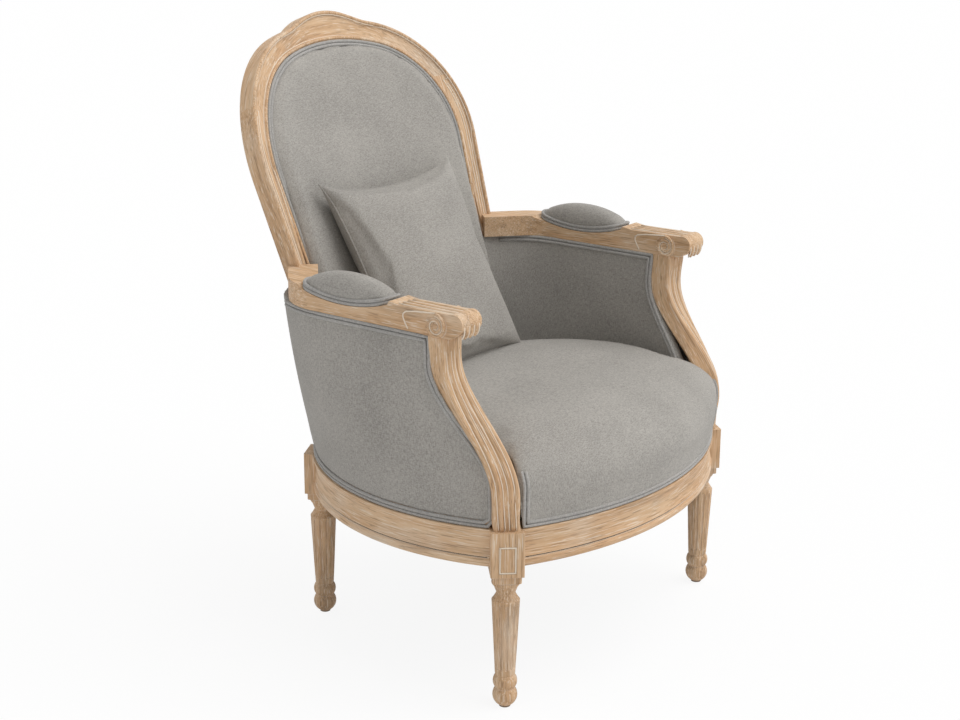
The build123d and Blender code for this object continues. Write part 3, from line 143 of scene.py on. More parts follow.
def stretched_noise(tree, vector, scales, detail=2.0, roughness=0.5, distortion=0.0):
    """Noise whose features are drawn out by a different scale along each axis."""
    mapping = tree.nodes.new("ShaderNodeMapping")
    mapping.inputs["Scale"].default_value = scales
    tree.links.new(vector, mapping.inputs["Vector"])
    noise = tree.nodes.new("ShaderNodeTexNoise")
    noise.inputs["Scale"].default_value = 1.0
    noise.inputs["Detail"].default_value = detail
    noise.inputs["Roughness"].default_value = roughness
    noise.inputs["Distortion"].default_value = distortion
    tree.links.new(mapping.outputs[0], noise.inputs["Vector"])
    return noise.outputs["Fac"]


def ramp(tree, value, *stops):
    """Colour ramp over a value: (position, colour) stops."""
    node = tree.nodes.new("ShaderNodeValToRGB")
    elements = node.color_ramp.elements
    while len(elements) < len(stops):
        elements.new(0.5)
    for element, (position, colour) in zip(elements, stops):
        element.position = position
        element.color = (*colour, 1.0)
    tree.links.new(value, node.inputs["Fac"])
    return node.outputs["Color"]


def band(tree, value, low, high):
    """Smooth mask from 0 at low to 1 at high."""
    node = tree.nodes.new("ShaderNodeMapRange")
    node.interpolation_type = "SMOOTHSTEP"
    node.inputs["From Min"].default_value = low
    node.inputs["From Max"].default_value = high
    tree.links.new(value, node.inputs["Value"])
    return node.outputs["Result"]


def mix_colour(tree, factor, first, second):
    """Colour mix; a plain tuple stands for a constant colour."""
    node = tree.nodes.new("ShaderNodeMix")
    node.data_type = "RGBA"
    sockets = (node.inputs["Factor"], node.inputs[6], node.inputs[7])
    for socket, value in zip(sockets, (factor, first, second)):
        if isinstance(value, (int, float)):
            socket.default_value = value
        elif isinstance(value, tuple):
            socket.default_value = (*value, 1.0)
        else:
            tree.links.new(value, socket)
    return node.outputs[2]


OAK_DARK = (0.300, 0.180, 0.095)
OAK_MID = (0.545, 0.340, 0.183)
OAK_PALE = (0.660, 0.460, 0.285)
OAK_WARM = (0.560, 0.325, 0.165)
WEATHERED = (0.350, 0.262, 0.185)
LIME = (0.800, 0.705, 0.580)
SCORCH = (0.190, 0.108, 0.055)
LIME_COVER = 0.88
OAK_ROUGHNESS = 0.50
OAK_ROUGH_SPREAD = 0.25


def limed_oak_group():
    """Open-grained oak with lime left in the pores; the grain runs along the vector's x."""
    tree, source, sink = new_group(
        "LimedOak",
        [("Vector", VECTOR, None), ("Crevice", FLOAT, 0.0)],
        [("Color", COLOUR), ("Roughness", FLOAT), ("Height", FLOAT)],
    )

    def figure(along, across, **looks):
        """Noise with so many features to the metre along the grain and across it."""
        return stretched_noise(tree, source.outputs["Vector"], (along, across, across), **looks)

    broad = figure(5, 16, detail=3.0, roughness=0.55)
    rings = figure(3, 95, detail=3.0, roughness=0.6, distortion=0.6)
    fibre = figure(14, 360, detail=3.0, roughness=0.65)
    pores = figure(26, 520)
    patches = figure(7, 11)
    warmth = figure(4, 22)
    weather = figure(8, 30, detail=3.0, roughness=0.6)
    tone = sum_of_products(tree, (broad, 0.45), (rings, 0.55))
    wood = ramp(tree, tone, (0.30, OAK_DARK), (0.46, OAK_MID), (0.62, OAK_PALE))
    for mask, low, high, share, colour in (
        (warmth, 0.48, 0.66, 0.50, OAK_WARM),
        (weather, 0.54, 0.70, 0.45, WEATHERED),
        (fibre, 0.46, 0.62, 0.45, OAK_PALE),
        (fibre, 0.44, 0.30, 0.35, OAK_DARK),
        (patches, 0.55, 0.72, 0.28, LIME),
        (pores, 0.57, 0.66, 0.52, LIME),
        (pores, 0.42, 0.33, 0.50, SCORCH),
    ):
        factor = math_node(tree, "MULTIPLY", band(tree, mask, low, high), share)
        wood = mix_colour(tree, factor, wood, colour)
    limed = math_node(tree, "MULTIPLY", source.outputs["Crevice"], LIME_COVER)
    wood = mix_colour(tree, limed, wood, LIME)
    height = sum_of_products(tree, (fibre, 0.6), (pores, 0.4))
    spread = math_node(tree, "MULTIPLY", fibre, OAK_ROUGH_SPREAD)
    rough = math_node(tree, "ADD", spread, OAK_ROUGHNESS)
    tree.links.new(wood, sink.inputs["Color"])
    tree.links.new(rough, sink.inputs["Roughness"])
    tree.links.new(height, sink.inputs["Height"])
    return tree


SLUB_LONG = 190
SLUB_FINE = 880
FACING_POWER = 3.0


def linen_group():
    """Plain weave with slubs, laid on every surface by the way that it faces."""
    tree, source, sink = new_group(
        "LinenWeave",
        [("Vector", VECTOR, None), ("Threads", FLOAT, 700.0)],
        [("Shade", FLOAT), ("Height", FLOAT)],
    )
    vector = source.outputs["Vector"]
    split = tree.nodes.new("ShaderNodeSeparateXYZ")
    tree.links.new(vector, split.inputs[0])
    turns = math_node(tree, "MULTIPLY", source.outputs["Threads"], tau)
    facing = tree.nodes.new("ShaderNodeSeparateXYZ")
    geometry = tree.nodes.new("ShaderNodeNewGeometry")
    tree.links.new(geometry.outputs["Normal"], facing.inputs[0])
    waves = []
    slubs = []
    weights = []
    for axis in range(3):
        phase = math_node(tree, "MULTIPLY", split.outputs[axis], turns)
        waves.append(math_node(tree, "SINE", phase))
        scales = [SLUB_FINE] * 3
        scales[axis] = SLUB_LONG
        slubs.append(stretched_noise(tree, vector, scales, roughness=0.6))
        straight = math_node(tree, "ABSOLUTE", facing.outputs[axis])
        weights.append(math_node(tree, "POWER", straight, FACING_POWER))
    total = math_node(tree, "ADD", math_node(tree, "ADD", weights[0], weights[1]), weights[2])
    shade = 0.0
    height = 0.0
    for axis in range(3):
        across, along = [other for other in range(3) if other != axis]
        share = math_node(tree, "DIVIDE", weights[axis], total)
        streaks = math_node(tree, "ADD", slubs[across], slubs[along])
        cross = math_node(tree, "MULTIPLY", waves[across], waves[along])
        weave = math_node(tree, "ADD", cross, streaks)
        shade = math_node(tree, "ADD", shade, math_node(tree, "MULTIPLY", streaks, share))
        height = math_node(tree, "ADD", height, math_node(tree, "MULTIPLY", weave, share))
    tree.links.new(math_node(tree, "MULTIPLY", shade, 0.5), sink.inputs["Shade"])
    tree.links.new(height, sink.inputs["Height"])
    return tree


LIMED_OAK = limed_oak_group()
LINEN = linen_group()


# Materials

def new_material(name):
    """Material with a bare principled shader and object coordinates."""
    material = bpy.data.materials.new(name)
    material.use_nodes = True
    tree = material.node_tree
    shader = tree.nodes["Principled BSDF"]
    place = tree.nodes.new("ShaderNodeTexCoord").outputs["Object"]
    return material, tree, shader, place


def bump(tree, shader, height, strength, distance):
    """Bump of a height socket on a shader."""
    node = tree.nodes.new("ShaderNodeBump")
    node.inputs["Strength"].default_value = strength
    node.inputs["Distance"].default_value = distance
    tree.links.new(height, node.inputs["Height"])
    tree.links.new(node.outputs["Normal"], shader.inputs["Normal"])


def turned(tree, place, turn):
    """Object coordinates turned so that the grain runs along x."""
    mapping = tree.nodes.new("ShaderNodeMapping")
    mapping.inputs["Rotation"].default_value = turn
    tree.links.new(place, mapping.inputs["Vector"])
    return mapping.outputs[0]


def joined(tree, *parts):
    """Vector from three values."""
    node = tree.nodes.new("ShaderNodeCombineXYZ")
    for socket, part in zip(node.inputs, parts):
        tree.links.new(part, socket)
    return node.outputs[0]


def round_a_centre(tree, place, turn, centre, radius, flip=1.0):
    """Grain along an arc about a centre, in the plane that this turn lays flat."""
    split = tree.nodes.new("ShaderNodeSeparateXYZ")
    tree.links.new(turned(tree, place, turn), split.inputs[0])
    across = math_node(tree, "SUBTRACT", split.outputs[0], centre[0])
    across = math_node(tree, "MULTIPLY", across, flip)
    along = math_node(tree, "SUBTRACT", split.outputs[1], centre[1])
    angle = math_node(tree, "ARCTAN2", along, across)
    run = math_node(tree, "MULTIPLY", angle, radius)
    square = sum_of_products(tree, (across, across), (along, along))
    return joined(tree, run, math_node(tree, "SQRT", square), split.outputs[2])


def up_the_post(tree, place):
    """Grain that follows the S-bend of the arm posts."""
    split = tree.nodes.new("ShaderNodeSeparateXYZ")
    tree.links.new(place, split.inputs[0])
    height = split.outputs[2]
    rise = band(tree, height, BEND_LOW / 1000, BEND_HIGH / 1000)
    bend = math_node(tree, "MULTIPLY", rise, POST_BEND / 1000)
    along = math_node(tree, "SUBTRACT", split.outputs[1], bend)
    return joined(tree, height, along, split.outputs[0])


FLAT = (0, 0, 0)
HOLLOW_REACH = 0.006
HOLLOW_OPEN = 0.80
HOLLOW_DEEP = 0.45


def oak(name, turn=FLAT, lime=None, route=None):
    """Limed oak with its grain along a turned x or a route, and lime in its hollows or all over."""
    material, tree, shader, place = new_material(name)
    grain = route(tree, place) if route else turned(tree, place, turn)
    group = tree.nodes.new("ShaderNodeGroup")
    group.node_tree = LIMED_OAK
    tree.links.new(grain, group.inputs["Vector"])
    if lime is None:
        hollow = tree.nodes.new("ShaderNodeAmbientOcclusion")
        hollow.inputs["Distance"].default_value = HOLLOW_REACH
        hollow.samples = 6
        hollow.only_local = True
        crevice = band(tree, hollow.outputs["AO"], HOLLOW_OPEN, HOLLOW_DEEP)
        tree.links.new(crevice, group.inputs["Crevice"])
    else:
        group.inputs["Crevice"].default_value = lime
    tree.links.new(group.outputs["Color"], shader.inputs["Base Color"])
    tree.links.new(group.outputs["Roughness"], shader.inputs["Roughness"])
    bump(tree, shader, group.outputs["Height"], strength=0.35, distance=0.0006)
    return material


def bowed_oak(name, centre, radius, turn=FLAT, sign=1):
    """Limed oak whose grain follows an arc given in millimetres."""
    middle = (sign * centre[0] / 1000, centre[1] / 1000)

    def route(tree, place):
        return round_a_centre(tree, place, turn, middle, radius / 1000, sign)

    return oak(name, route=route)


LINEN_FINISH = {
    "Roughness": 0.92,
    "Sheen Weight": 0.15,
    "Sheen Roughness": 0.5,
    "Specular IOR Level": 0.2,
}


def linen(name, dark, pale, threads, depth):
    """Linen cloth between two shades, with so many threads to the metre."""
    material, tree, shader, place = new_material(name)
    group = tree.nodes.new("ShaderNodeGroup")
    group.node_tree = LINEN
    group.inputs["Threads"].default_value = threads
    tree.links.new(place, group.inputs["Vector"])
    cloud = stretched_noise(tree, place, (9, 9, 9))
    shade = sum_of_products(tree, (group.outputs["Shade"], 0.85), (cloud, 0.15))
    tree.links.new(ramp(tree, shade, (0.39, dark), (0.61, pale)), shader.inputs["Base Color"])
    for title, value in LINEN_FINISH.items():
        shader.inputs[title].default_value = value
    bump(tree, shader, group.outputs["Height"], strength=0.45, distance=depth)
    return material


def plain(name, colour, roughness, grain, metallic=0.0):
    """Plain material with a slight unevenness of its own colour."""
    material, tree, shader, place = new_material(name)
    cloud = stretched_noise(tree, place, (120, 120, 120), detail=3.0, roughness=0.6)
    low = tuple(part * (1 - grain) for part in colour)
    tree.links.new(ramp(tree, cloud, (0.35, low), (0.65, colour)), shader.inputs["Base Color"])
    shader.inputs["Roughness"].default_value = roughness
    shader.inputs["Metallic"].default_value = metallic
    return material


UPRIGHT = (0, pi / 2, 0)
OAK_Y = oak("oak_grain_along", (0, 0, -pi / 2))
OAK_Z = oak("oak_grain_up", UPRIGHT)
OAK_STILE = oak("oak_grain_up_the_slope", (TILT, pi / 2, 0))
OAK_POST = oak("oak_grain_up_the_posts", route=up_the_post)
OAK_CREST = bowed_oak("oak_grain_round_the_crest", (0, 780), 300, turn=(TILT - pi / 2, 0, 0))
OAK_FRONT = bowed_oak("oak_grain_front_rail", FRONT_CENTRE, 550)
OAK_BACK = bowed_oak("oak_grain_back_rail", BACK_CENTRE, 830)
OAK_SIDES = {
    side: bowed_oak(f"oak_grain_side_rail_{side}", SIDE_CENTRE, 390, sign=sign)
    for side, sign in SIDES.items()
}
LIME_LINE = oak("lime_in_cut_lines", UPRIGHT, lime=1.0)
COVER_LINEN = linen(
    "grey_linen", (0.265, 0.250, 0.229), (0.475, 0.450, 0.412), threads=620, depth=0.0006
)
# Welt linen: its slightly cooler tone is its own, and it is painted lighter than the cover to
# offset the shade that the round cords cast on themselves
WELT_LINEN = linen(
    "welt_linen", (0.290, 0.280, 0.265), (0.490, 0.472, 0.446), threads=760, depth=0.0004
)
PILLOW_LINEN = linen(
    "pillow_linen", (0.255, 0.240, 0.219), (0.465, 0.440, 0.402), threads=520, depth=0.0007
)
STEEL = plain("spring_steel", (0.42, 0.42, 0.43), roughness=0.35, grain=0.2, metallic=1.0)
BEECH = plain("beech", (0.56, 0.38, 0.24), roughness=0.6, grain=0.3)
BURLAP = plain("burlap", (0.40, 0.29, 0.17), roughness=0.95, grain=0.4)
BLACK_CLOTH = plain("black_cloth", (0.018, 0.018, 0.02), roughness=0.9, grain=0.3)
# Painted shade: a dark brown for thin lines laid in the rails' grooves, where shade falls
PAINTED_GROOVE_SHADE = plain("painted_shade_in_grooves", (0.105, 0.062, 0.036), roughness=0.85, grain=0.4)
GLIDE = plain("glide_plastic", (0.30, 0.21, 0.14), roughness=0.5, grain=0.2)

node_materials = (
    (OAK_FRONT, ("front_rail",)),
    (OAK_BACK, ("back_rail",)),
    (OAK_SIDES["left"], ("side_rail_left",)),
    (OAK_SIDES["right"], ("side_rail_right",)),
    (OAK_CREST, ("crest_rail",)),
    (OAK_Y, ("arm_left", "arm_right")),
    (OAK_Z, ("front_leg_left", "front_leg_right", "rear_leg_left", "rear_leg_right")),
    (OAK_POST, ("arm_post_left", "arm_post_right")),
    (OAK_STILE, ("back_stile_left", "back_stile_right")),
    (BEECH, ("back_post_left", "back_post_right", "back_cross_rail")),
    (BEECH, ("corner_blocks", "rail_dowels", "frame_dowels")),
    (STEEL, ("seat_springs", "spring_clips", "corner_screws")),
    (BURLAP, ("seat_burlap",)),
    (BLACK_CLOTH, ("dust_cover",)),
    (GLIDE, ("foot_glides",)),
)
for material, names in node_materials:
    for name in names:
        nodes[name].data.materials.clear()
        nodes[name].data.materials.append(material)


# Soft pieces, made from the upholstery's own solids; sizes from here to the pillow are in metres

def apply_modifier(piece, kind, **values):
    """Adds a modifier with these values and applies it."""
    pick(piece)
    modifier = piece.modifiers.new(kind.title(), kind)
    for key, value in values.items():
        setattr(modifier, key, value)
    bpy.ops.object.modifier_apply(modifier=modifier.name)


def mend_mesh(merge):
    """Joins the points of the active mesh that lie this close and turns its faces outward."""
    bpy.ops.object.mode_set(mode="EDIT")
    bpy.ops.mesh.select_all(action="SELECT")
    bpy.ops.mesh.remove_doubles(threshold=merge)
    bpy.ops.mesh.normals_make_consistent(inside=False)
    bpy.ops.object.mode_set(mode="OBJECT")


def keep_outer(piece):
    """Drops the inner skins of a remeshed piece, keeping the largest one."""
    pick(piece)
    bpy.ops.object.mode_set(mode="EDIT")
    bpy.ops.mesh.select_all(action="SELECT")
    bpy.ops.mesh.separate(type="LOOSE")
    bpy.ops.object.mode_set(mode="OBJECT")
    shells = list(bpy.context.selected_objects)
    shells.sort(key=lambda shell: max(shell.dimensions) * len(shell.data.vertices))
    outer = shells.pop()
    deselect()
    for shell in shells:
        bpy.data.objects.remove(shell)
    return pick(outer)


def soft_copy(name, solids, voxel):
    """One closed skin round the copies of some solids."""
    deselect()
    copies = []
    for solid in solids:
        copy = bpy.data.objects.new(name, nodes[solid].data.copy())
        copy.matrix_world = nodes[solid].matrix_world.copy()
        scene.collection.objects.link(copy)
        copy.select_set(True)
        copies.append(copy)
    bpy.context.view_layer.objects.active = copies[0]
    if len(copies) > 1:
        bpy.ops.object.join()
    bpy.ops.object.transform_apply(location=True, rotation=True, scale=True)
    piece = bpy.context.object
    mend_mesh(0.00005)
    apply_modifier(piece, "REMESH", mode="VOXEL", voxel_size=voxel)
    return keep_outer(piece)


def fill_out(piece, pressure, cap, stiffness=12.0, frames=14):
    """Blows a cushion up a little as cloth, with no point moved further than the cap."""
    pick(piece)
    rest = [vertex.co.copy() for vertex in piece.data.vertices]
    modifier = piece.modifiers.new("Cloth", "CLOTH")
    settings = modifier.settings
    settings.quality = 4
    settings.mass = 0.2
    settings.tension_stiffness = stiffness
    settings.compression_stiffness = stiffness
    settings.shear_stiffness = stiffness / 2
    settings.bending_stiffness = 0.4
    settings.use_pressure = True
    settings.uniform_pressure_force = pressure
    settings.effector_weights.gravity = 0.0
    modifier.collision_settings.use_collision = False
    for step in range(1, frames + 1):
        scene.frame_set(step)
    bpy.ops.object.modifier_apply(modifier=modifier.name)
    scene.frame_set(1)
    for vertex, start in zip(piece.data.vertices, rest):
        move = vertex.co - start
        if move.length > cap:
            vertex.co = start + move * (cap / move.length)


def clamped(share):
    """A share kept between 0 and 1."""
    return min(max(share, 0.0), 1.0)


def smooth(piece, times, **part):
    """Evens out the steps of the remesh."""
    apply_modifier(piece, "SMOOTH", factor=0.5, iterations=times, **part)


def smooth_above(piece, times, low, high):
    """Evens out a piece from a height up, coming in gradually between two heights."""
    group = piece.vertex_groups.new(name="soft")
    for vertex in piece.data.vertices:
        group.add([vertex.index], clamped((vertex.co.z - low) / (high - low)), "REPLACE")
    smooth(piece, times, vertex_group=group.name)
    piece.vertex_groups.clear()


def finish_soft(piece, name, stands_for, material=COVER_LINEN, slot="linen", body=CHAIR):
    """Names, shades smooth and settles a padded piece."""
    piece.name = name
    piece.data.name = name
    pick(piece)
    bpy.ops.object.shade_smooth()
    settle(piece, material, slot, body, *stands_for)


RAIL_CENTRE = Vector((0, FRONT_CENTRE[1] / 1000))
RAIL_FACE = 0.5576
FRONT_REACH = 0.535
FRONT_BEFORE = -0.15
FRONT_SWELL = 0.007


def draw_to_rail(piece, from_height, to_height):
    """Draws the seat's front cover down over the rail's rebate, behind the welt."""
    low = min(vertex.co.z for vertex in piece.data.vertices)
    for vertex in piece.data.vertices:
        reach = vertex.co.xy - RAIL_CENTRE
        behind = reach.length < FRONT_REACH or vertex.co.y > FRONT_BEFORE
        if vertex.co.z > from_height or behind:
            continue
        share = (from_height - vertex.co.z) / (from_height - low)
        vertex.co.z -= share * (low - to_height)
        face = RAIL_FACE + FRONT_SWELL * (1 - share)
        if reach.length < face:
            vertex.co.xy = RAIL_CENTRE + reach * (face / reach.length)


slope_up, slope_out = leaning(TILT)
PAD_CENTRE = (BACK_PLACE + slope_up * 170) / 1000
UPWARD_SHARE = 1.5


def spread_under_welt(piece, growth):
    """Spreads the back pad across and up its slope, so that its rim lies under the welt."""
    for vertex in piece.data.vertices:
        way = vertex.co - PAD_CENTRE
        rise = max(way.dot(slope_up), 0.0) * UPWARD_SHARE
        vertex.co += (Vector((way.x, 0, 0)) + slope_up * rise) * growth


seat = soft_copy("seat", ("seat_cover", "seat_foam"), voxel=0.005)
smooth(seat, 5)
smooth_above(seat, 26, low=0.335, high=0.375)
fill_out(seat, pressure=3.0, cap=0.007)
draw_to_rail(seat, from_height=0.342, to_height=0.2995)
finish_soft(seat, "seat_upholstery", ("seat_cover", "seat_foam"))

inside_back = soft_copy("back", ("back_cover", "back_foam"), voxel=0.005)
smooth(inside_back, 12)
fill_out(inside_back, pressure=3.0, cap=0.004)
spread_under_welt(inside_back, growth=0.026)
finish_soft(inside_back, "inside_back", ("back_cover", "back_foam"))

PAD_FOOT = 0.626
PAD_NARROWING = 0.25
PAD_CROWN = 1.04
PAD_DROP = 0.72
PAD_CURVE = 2.2


def draw_to_ends(piece, sign):
    """Draws an arm pad in and down towards its two ends."""
    middle = sign * ARM_X / 1000
    for vertex in piece.data.vertices:
        share = min(abs(vertex.co.y - PAD_MIDDLE / 1000) / (PAD_HALF / 1000), 1.0)
        vertex.co.x = middle + (vertex.co.x - middle) * (1 - PAD_NARROWING * share**2)
        if vertex.co.z > PAD_FOOT:
            crown = PAD_CROWN - PAD_DROP * share**PAD_CURVE
            vertex.co.z = PAD_FOOT + (vertex.co.z - PAD_FOOT) * crown


def ease(height):
    """Share of the way through the S-bend of the arm post at a height in millimetres."""
    share = clamped((height - BEND_LOW) / (BEND_HIGH - BEND_LOW))
    return share * share * (3 - 2 * share)


def draw_to_post(piece, foot_y, head_y, reach, amount):
    """Draws the front edge of a side wall forward against the arm post, less at the top."""
    for vertex in piece.data.vertices:
        bend = ease(vertex.co.z * 1000)
        edge = foot_y + (head_y - foot_y) * bend
        share = clamped(1 - (vertex.co.y - edge) / reach)
        vertex.co.y -= amount * share * (1 - bend * 0.6)


inside_arms = {}
outside_arms = {}
for side, sign in SIDES.items():
    stuffing = (f"arm_pad_cover_{side}", f"arm_pad_foam_{side}")
    pad = soft_copy("pad", stuffing, voxel=0.0022)
    draw_to_ends(pad, sign)
    smooth(pad, 10)
    fill_out(pad, pressure=6.0, cap=0.003)
    finish_soft(pad, f"arm_pad_{side}", stuffing)

    cover = (f"inner_arm_pad_{side}",)
    inner = soft_copy("inner", cover, voxel=0.0032)
    smooth(inner, 3)
    apply_modifier(inner, "DISPLACE", strength=0.0018, mid_level=0.0)
    draw_to_post(inner, foot_y=-0.236, head_y=-0.152, reach=0.034, amount=0.011)
    finish_soft(inner, f"inside_arm_{side}", cover)
    inside_arms[side] = inner

    cover = (f"outer_arm_panel_{side}",)
    outer = soft_copy("outer", cover, voxel=0.0028)
    smooth(outer, 3)
    apply_modifier(outer, "DISPLACE", strength=0.0012, mid_level=0.0)
    finish_soft(outer, f"outside_arm_{side}", cover)
    outside_arms[side] = outer

PANEL_JOINT = 0.582
CLOSING_FROM = 0.550
CLOSING_OVER = 0.030
CLOSING_LAP = 0.002


def close_to_frame(piece):
    """Carries the lower part of the outside back up to the foot of its bowed upper part."""
    for vertex in piece.data.vertices:
        bow = (BOW_RADIUS - sqrt(BOW_RADIUS**2 - (vertex.co.x * 1000) ** 2)) / 1000
        rise = bow * sin(TILT)
        if CLOSING_FROM < vertex.co.z < PANEL_JOINT + rise - CLOSING_LAP / 2:
            share = min((vertex.co.z - CLOSING_FROM) / CLOSING_OVER, 1.0)
            vertex.co.z += (rise + CLOSING_LAP) * share


outside = soft_copy("outside", ("outside_back_panel",), voxel=0.0026)
smooth(outside, 3)
close_to_frame(outside)
apply_modifier(outside, "DECIMATE", ratio=0.5)
finish_soft(outside, "outside_back", ("outside_back_panel",))


# Loose pillow: two sheets sewn round the edge, shaped and filled flat, then leaned on the back

PILLOW_COLUMNS = 64
PILLOW_ROWS = 68
PILLOW_CUT = (0.372, 0.396)
PILLOW_SEAM = 0.003
PILLOW_SWELL = 0.050
PILLOW_FULLNESS = 0.48
SIDES_DRAWN_IN = 0.12
TOP_DRAWN_IN = 0.12
FOOT_DRAWN_IN = 0.03
PILLOW_SIZE = (0.346, 0.366, 0.098)
PILLOW_FOOT = Vector((-0.017, 0.0286, 0.4274))
pillow_up, pillow_out = leaning(radians(27.6))
pillow_place = PILLOW_FOOT + pillow_up * 0.181 + pillow_out * 0.006


def sewn_pillow():
    """Sewn square with a full middle and its corners left as ears, filled by pressure."""
    bpy.ops.mesh.primitive_grid_add(
        x_subdivisions=PILLOW_COLUMNS, y_subdivisions=PILLOW_ROWS, size=1.0
    )
    piece = bpy.context.object
    piece.scale = (*PILLOW_CUT, 1.0)
    bpy.ops.object.transform_apply(location=True, rotation=True, scale=True)
    apply_modifier(piece, "SOLIDIFY", thickness=PILLOW_SEAM, offset=0.0)
    for vertex in piece.data.vertices:
        across = vertex.co.x / (PILLOW_CUT[0] / 2)
        along = vertex.co.y / (PILLOW_CUT[1] / 2)
        room = max(0.0, 1 - across**2) * max(0.0, 1 - along**2)
        face = 1 if vertex.co.z > 0 else -1
        vertex.co.z += face * PILLOW_SWELL * room**PILLOW_FULLNESS
        vertex.co.x *= 1 - SIDES_DRAWN_IN * (1 - along**2) * across**2
        drawn_in = TOP_DRAWN_IN if along > 0 else FOOT_DRAWN_IN
        vertex.co.y *= 1 - drawn_in * (1 - across**2) * along**2
    fill_out(piece, pressure=4.0, cap=0.012, stiffness=15.0)
    return piece


def pillow_rim(piece):
    """Points of the seam in order, midway between the edges of the two sheets."""
    border = [(column, 0) for column in range(PILLOW_COLUMNS)]
    border += [(PILLOW_COLUMNS, row) for row in range(PILLOW_ROWS)]
    border += [(column, PILLOW_ROWS) for column in range(PILLOW_COLUMNS, 0, -1)]
    border += [(0, row) for row in range(PILLOW_ROWS, 0, -1)]
    vertices = piece.data.vertices
    other_sheet = (PILLOW_COLUMNS + 1) * (PILLOW_ROWS + 1)
    spots = [row * (PILLOW_COLUMNS + 1) + column for column, row in border]
    return [(vertices[spot].co + vertices[spot + other_sheet].co) / 2 for spot in spots]


def fit_box(piece, size):
    """Scales a mesh so that its box has this size and its middle is at the origin."""
    for axis in range(3):
        places = [vertex.co[axis] for vertex in piece.data.vertices]
        low, high = min(places), max(places)
        for vertex in piece.data.vertices:
            vertex.co[axis] = (vertex.co[axis] - (low + high) / 2) * size[axis] / (high - low)


pillow = sewn_pillow()
fit_box(pillow, PILLOW_SIZE)
for vertex in pillow.data.vertices:
    spot = vertex.co.copy()
    vertex.co = pillow_place + Vector((spot.x, 0, 0)) + pillow_up * spot.y + pillow_out * spot.z
pillow.data.update()
seam_line = pillow_rim(pillow)
apply_modifier(pillow, "SUBSURF", levels=1, render_levels=1)
case = ("pillow_cover", "pillow_insert")
finish_soft(pillow, "loose_pillow", case, PILLOW_LINEN, "pillow_linen", PILLOW)


# Lines that the welts and the carved trim follow, in millimetres of the chair's own layout

CORD = 0.0030
SIDE_STEPS = 10
SHOULDER_STEPS = 25
TOP_STEPS = 20


def on_back(across, rise, proud):
    """Point in metres on the bowed back: across it, up its slope, proud of the frame's face."""
    bow = BOW_RADIUS - sqrt(BOW_RADIUS**2 - across**2)
    up_and_out = slope_up * rise + slope_out * (proud + bow)
    return (BACK_PLACE + Vector((across, 0, 0)) + up_and_out) / 1000


def round_spot(centre, radius, angle):
    """Flat point on a circle."""
    return Vector((centre[0] + radius * cos(angle), centre[1] + radius * sin(angle)))


def arch_line(half_width, foot_half, shoulder, arch, rise, foot):
    """Round-topped outline from its right foot over the top to its left foot."""
    shoulder_x = half_width - shoulder
    drop = sqrt((arch - shoulder) ** 2 - shoulder_x**2)
    spring = rise - arch + drop
    to_foot = Vector((foot_half - shoulder_x, foot - spring))
    start = atan2(to_foot.y, to_foot.x) + acos(shoulder / to_foot.length)
    meet = atan2(drop, shoulder_x)
    first = round_spot((shoulder_x, spring), shoulder, start)
    side = []
    for step in range(SIDE_STEPS):
        side.append(Vector((foot_half, foot)).lerp(first, step / SIDE_STEPS))
    for step in range(SHOULDER_STEPS):
        angle = start + (meet - start) * step / SHOULDER_STEPS
        side.append(round_spot((shoulder_x, spring), shoulder, angle))
    for step in range(TOP_STEPS):
        angle = meet + (pi / 2 - meet) * step / TOP_STEPS
        side.append(round_spot((0, rise - arch), arch, angle))
    side.append(Vector((0, rise)))
    return [Vector((-point.x, point.y)) for point in side[:-1]] + side[::-1]


def inner_line(inset, foot):
    """Edge of the frame's opening, moved in by an inset."""
    return arch_line(*[size - inset for size in INNER_ARCH], foot)


CREST_RISE = 419
CREST_RADIUS = 160
CREST_HALF = 130
CREST_ABOVE = 200
CREST_BLEND = 12
CREST_FILLET = 3


def outer_line(inset, foot):
    """Outer edge of the frame with its raised crest, moved in by an inset."""
    line = []
    reach = CREST_RADIUS - inset
    for point in arch_line(*[size - inset for size in OUTER_ARCH], foot):
        rise = point.y
        if abs(point.x) < min(reach, CREST_HALF) and rise > CREST_ABOVE:
            crest = CREST_RISE - CREST_RADIUS + sqrt(reach**2 - point.x**2)
            blend = max(CREST_BLEND - abs(crest - rise), 0) / CREST_BLEND
            rise = max(rise, crest) + blend * blend * CREST_FILLET
        line.append(Vector((point.x, rise)))
    return line


def arc_line(centre, radius, start, end, height, count=70):
    """Plan arc in metres between two directions, in degrees."""
    line = []
    for step in range(count + 1):
        angle = radians(start + (end - start) * step / count)
        line.append(Vector((*round_spot(centre, radius, angle), height)) / 1000)
    return line


def mirrored(line):
    """The same line on the other side of the chair."""
    return [Vector((-point.x, point.y, point.z)) for point in line]


def tubes(name, lines, radius, material, slot, body, *stands_for, closed=False):
    """Round cords along some lines of points, made one mesh."""
    curve = bpy.data.curves.new(name, "CURVE")
    curve.dimensions = "3D"
    curve.bevel_depth = radius
    curve.bevel_resolution = 2
    curve.use_fill_caps = True
    for line in lines:
        spline = curve.splines.new("POLY")
        spline.points.add(len(line) - 1)
        for spot, point in zip(spline.points, line):
            spot.co = (*point, 1.0)
        spline.use_cyclic_u = closed
    piece = bpy.data.objects.new(name, curve)
    scene.collection.objects.link(piece)
    pick(piece)
    bpy.ops.object.convert(target="MESH")
    piece = bpy.context.object
    mend_mesh(0.00001)
    bpy.ops.object.shade_smooth()
    settle(piece, material, slot, body, *stands_for)


def welt(name, lines, stands_for, closed=False):
    """Welt of covered cords in place of its plain solid."""
    tubes(name, lines, CORD, WELT_LINEN, "welt_linen", CHAIR, stands_for, closed=closed)


def carving(name, lines, radius, material, closed=False):
    """Thin trim on the show wood, with no solid of its own."""
    tubes(name, lines, radius, material, "oak", CHAIR, closed=closed)


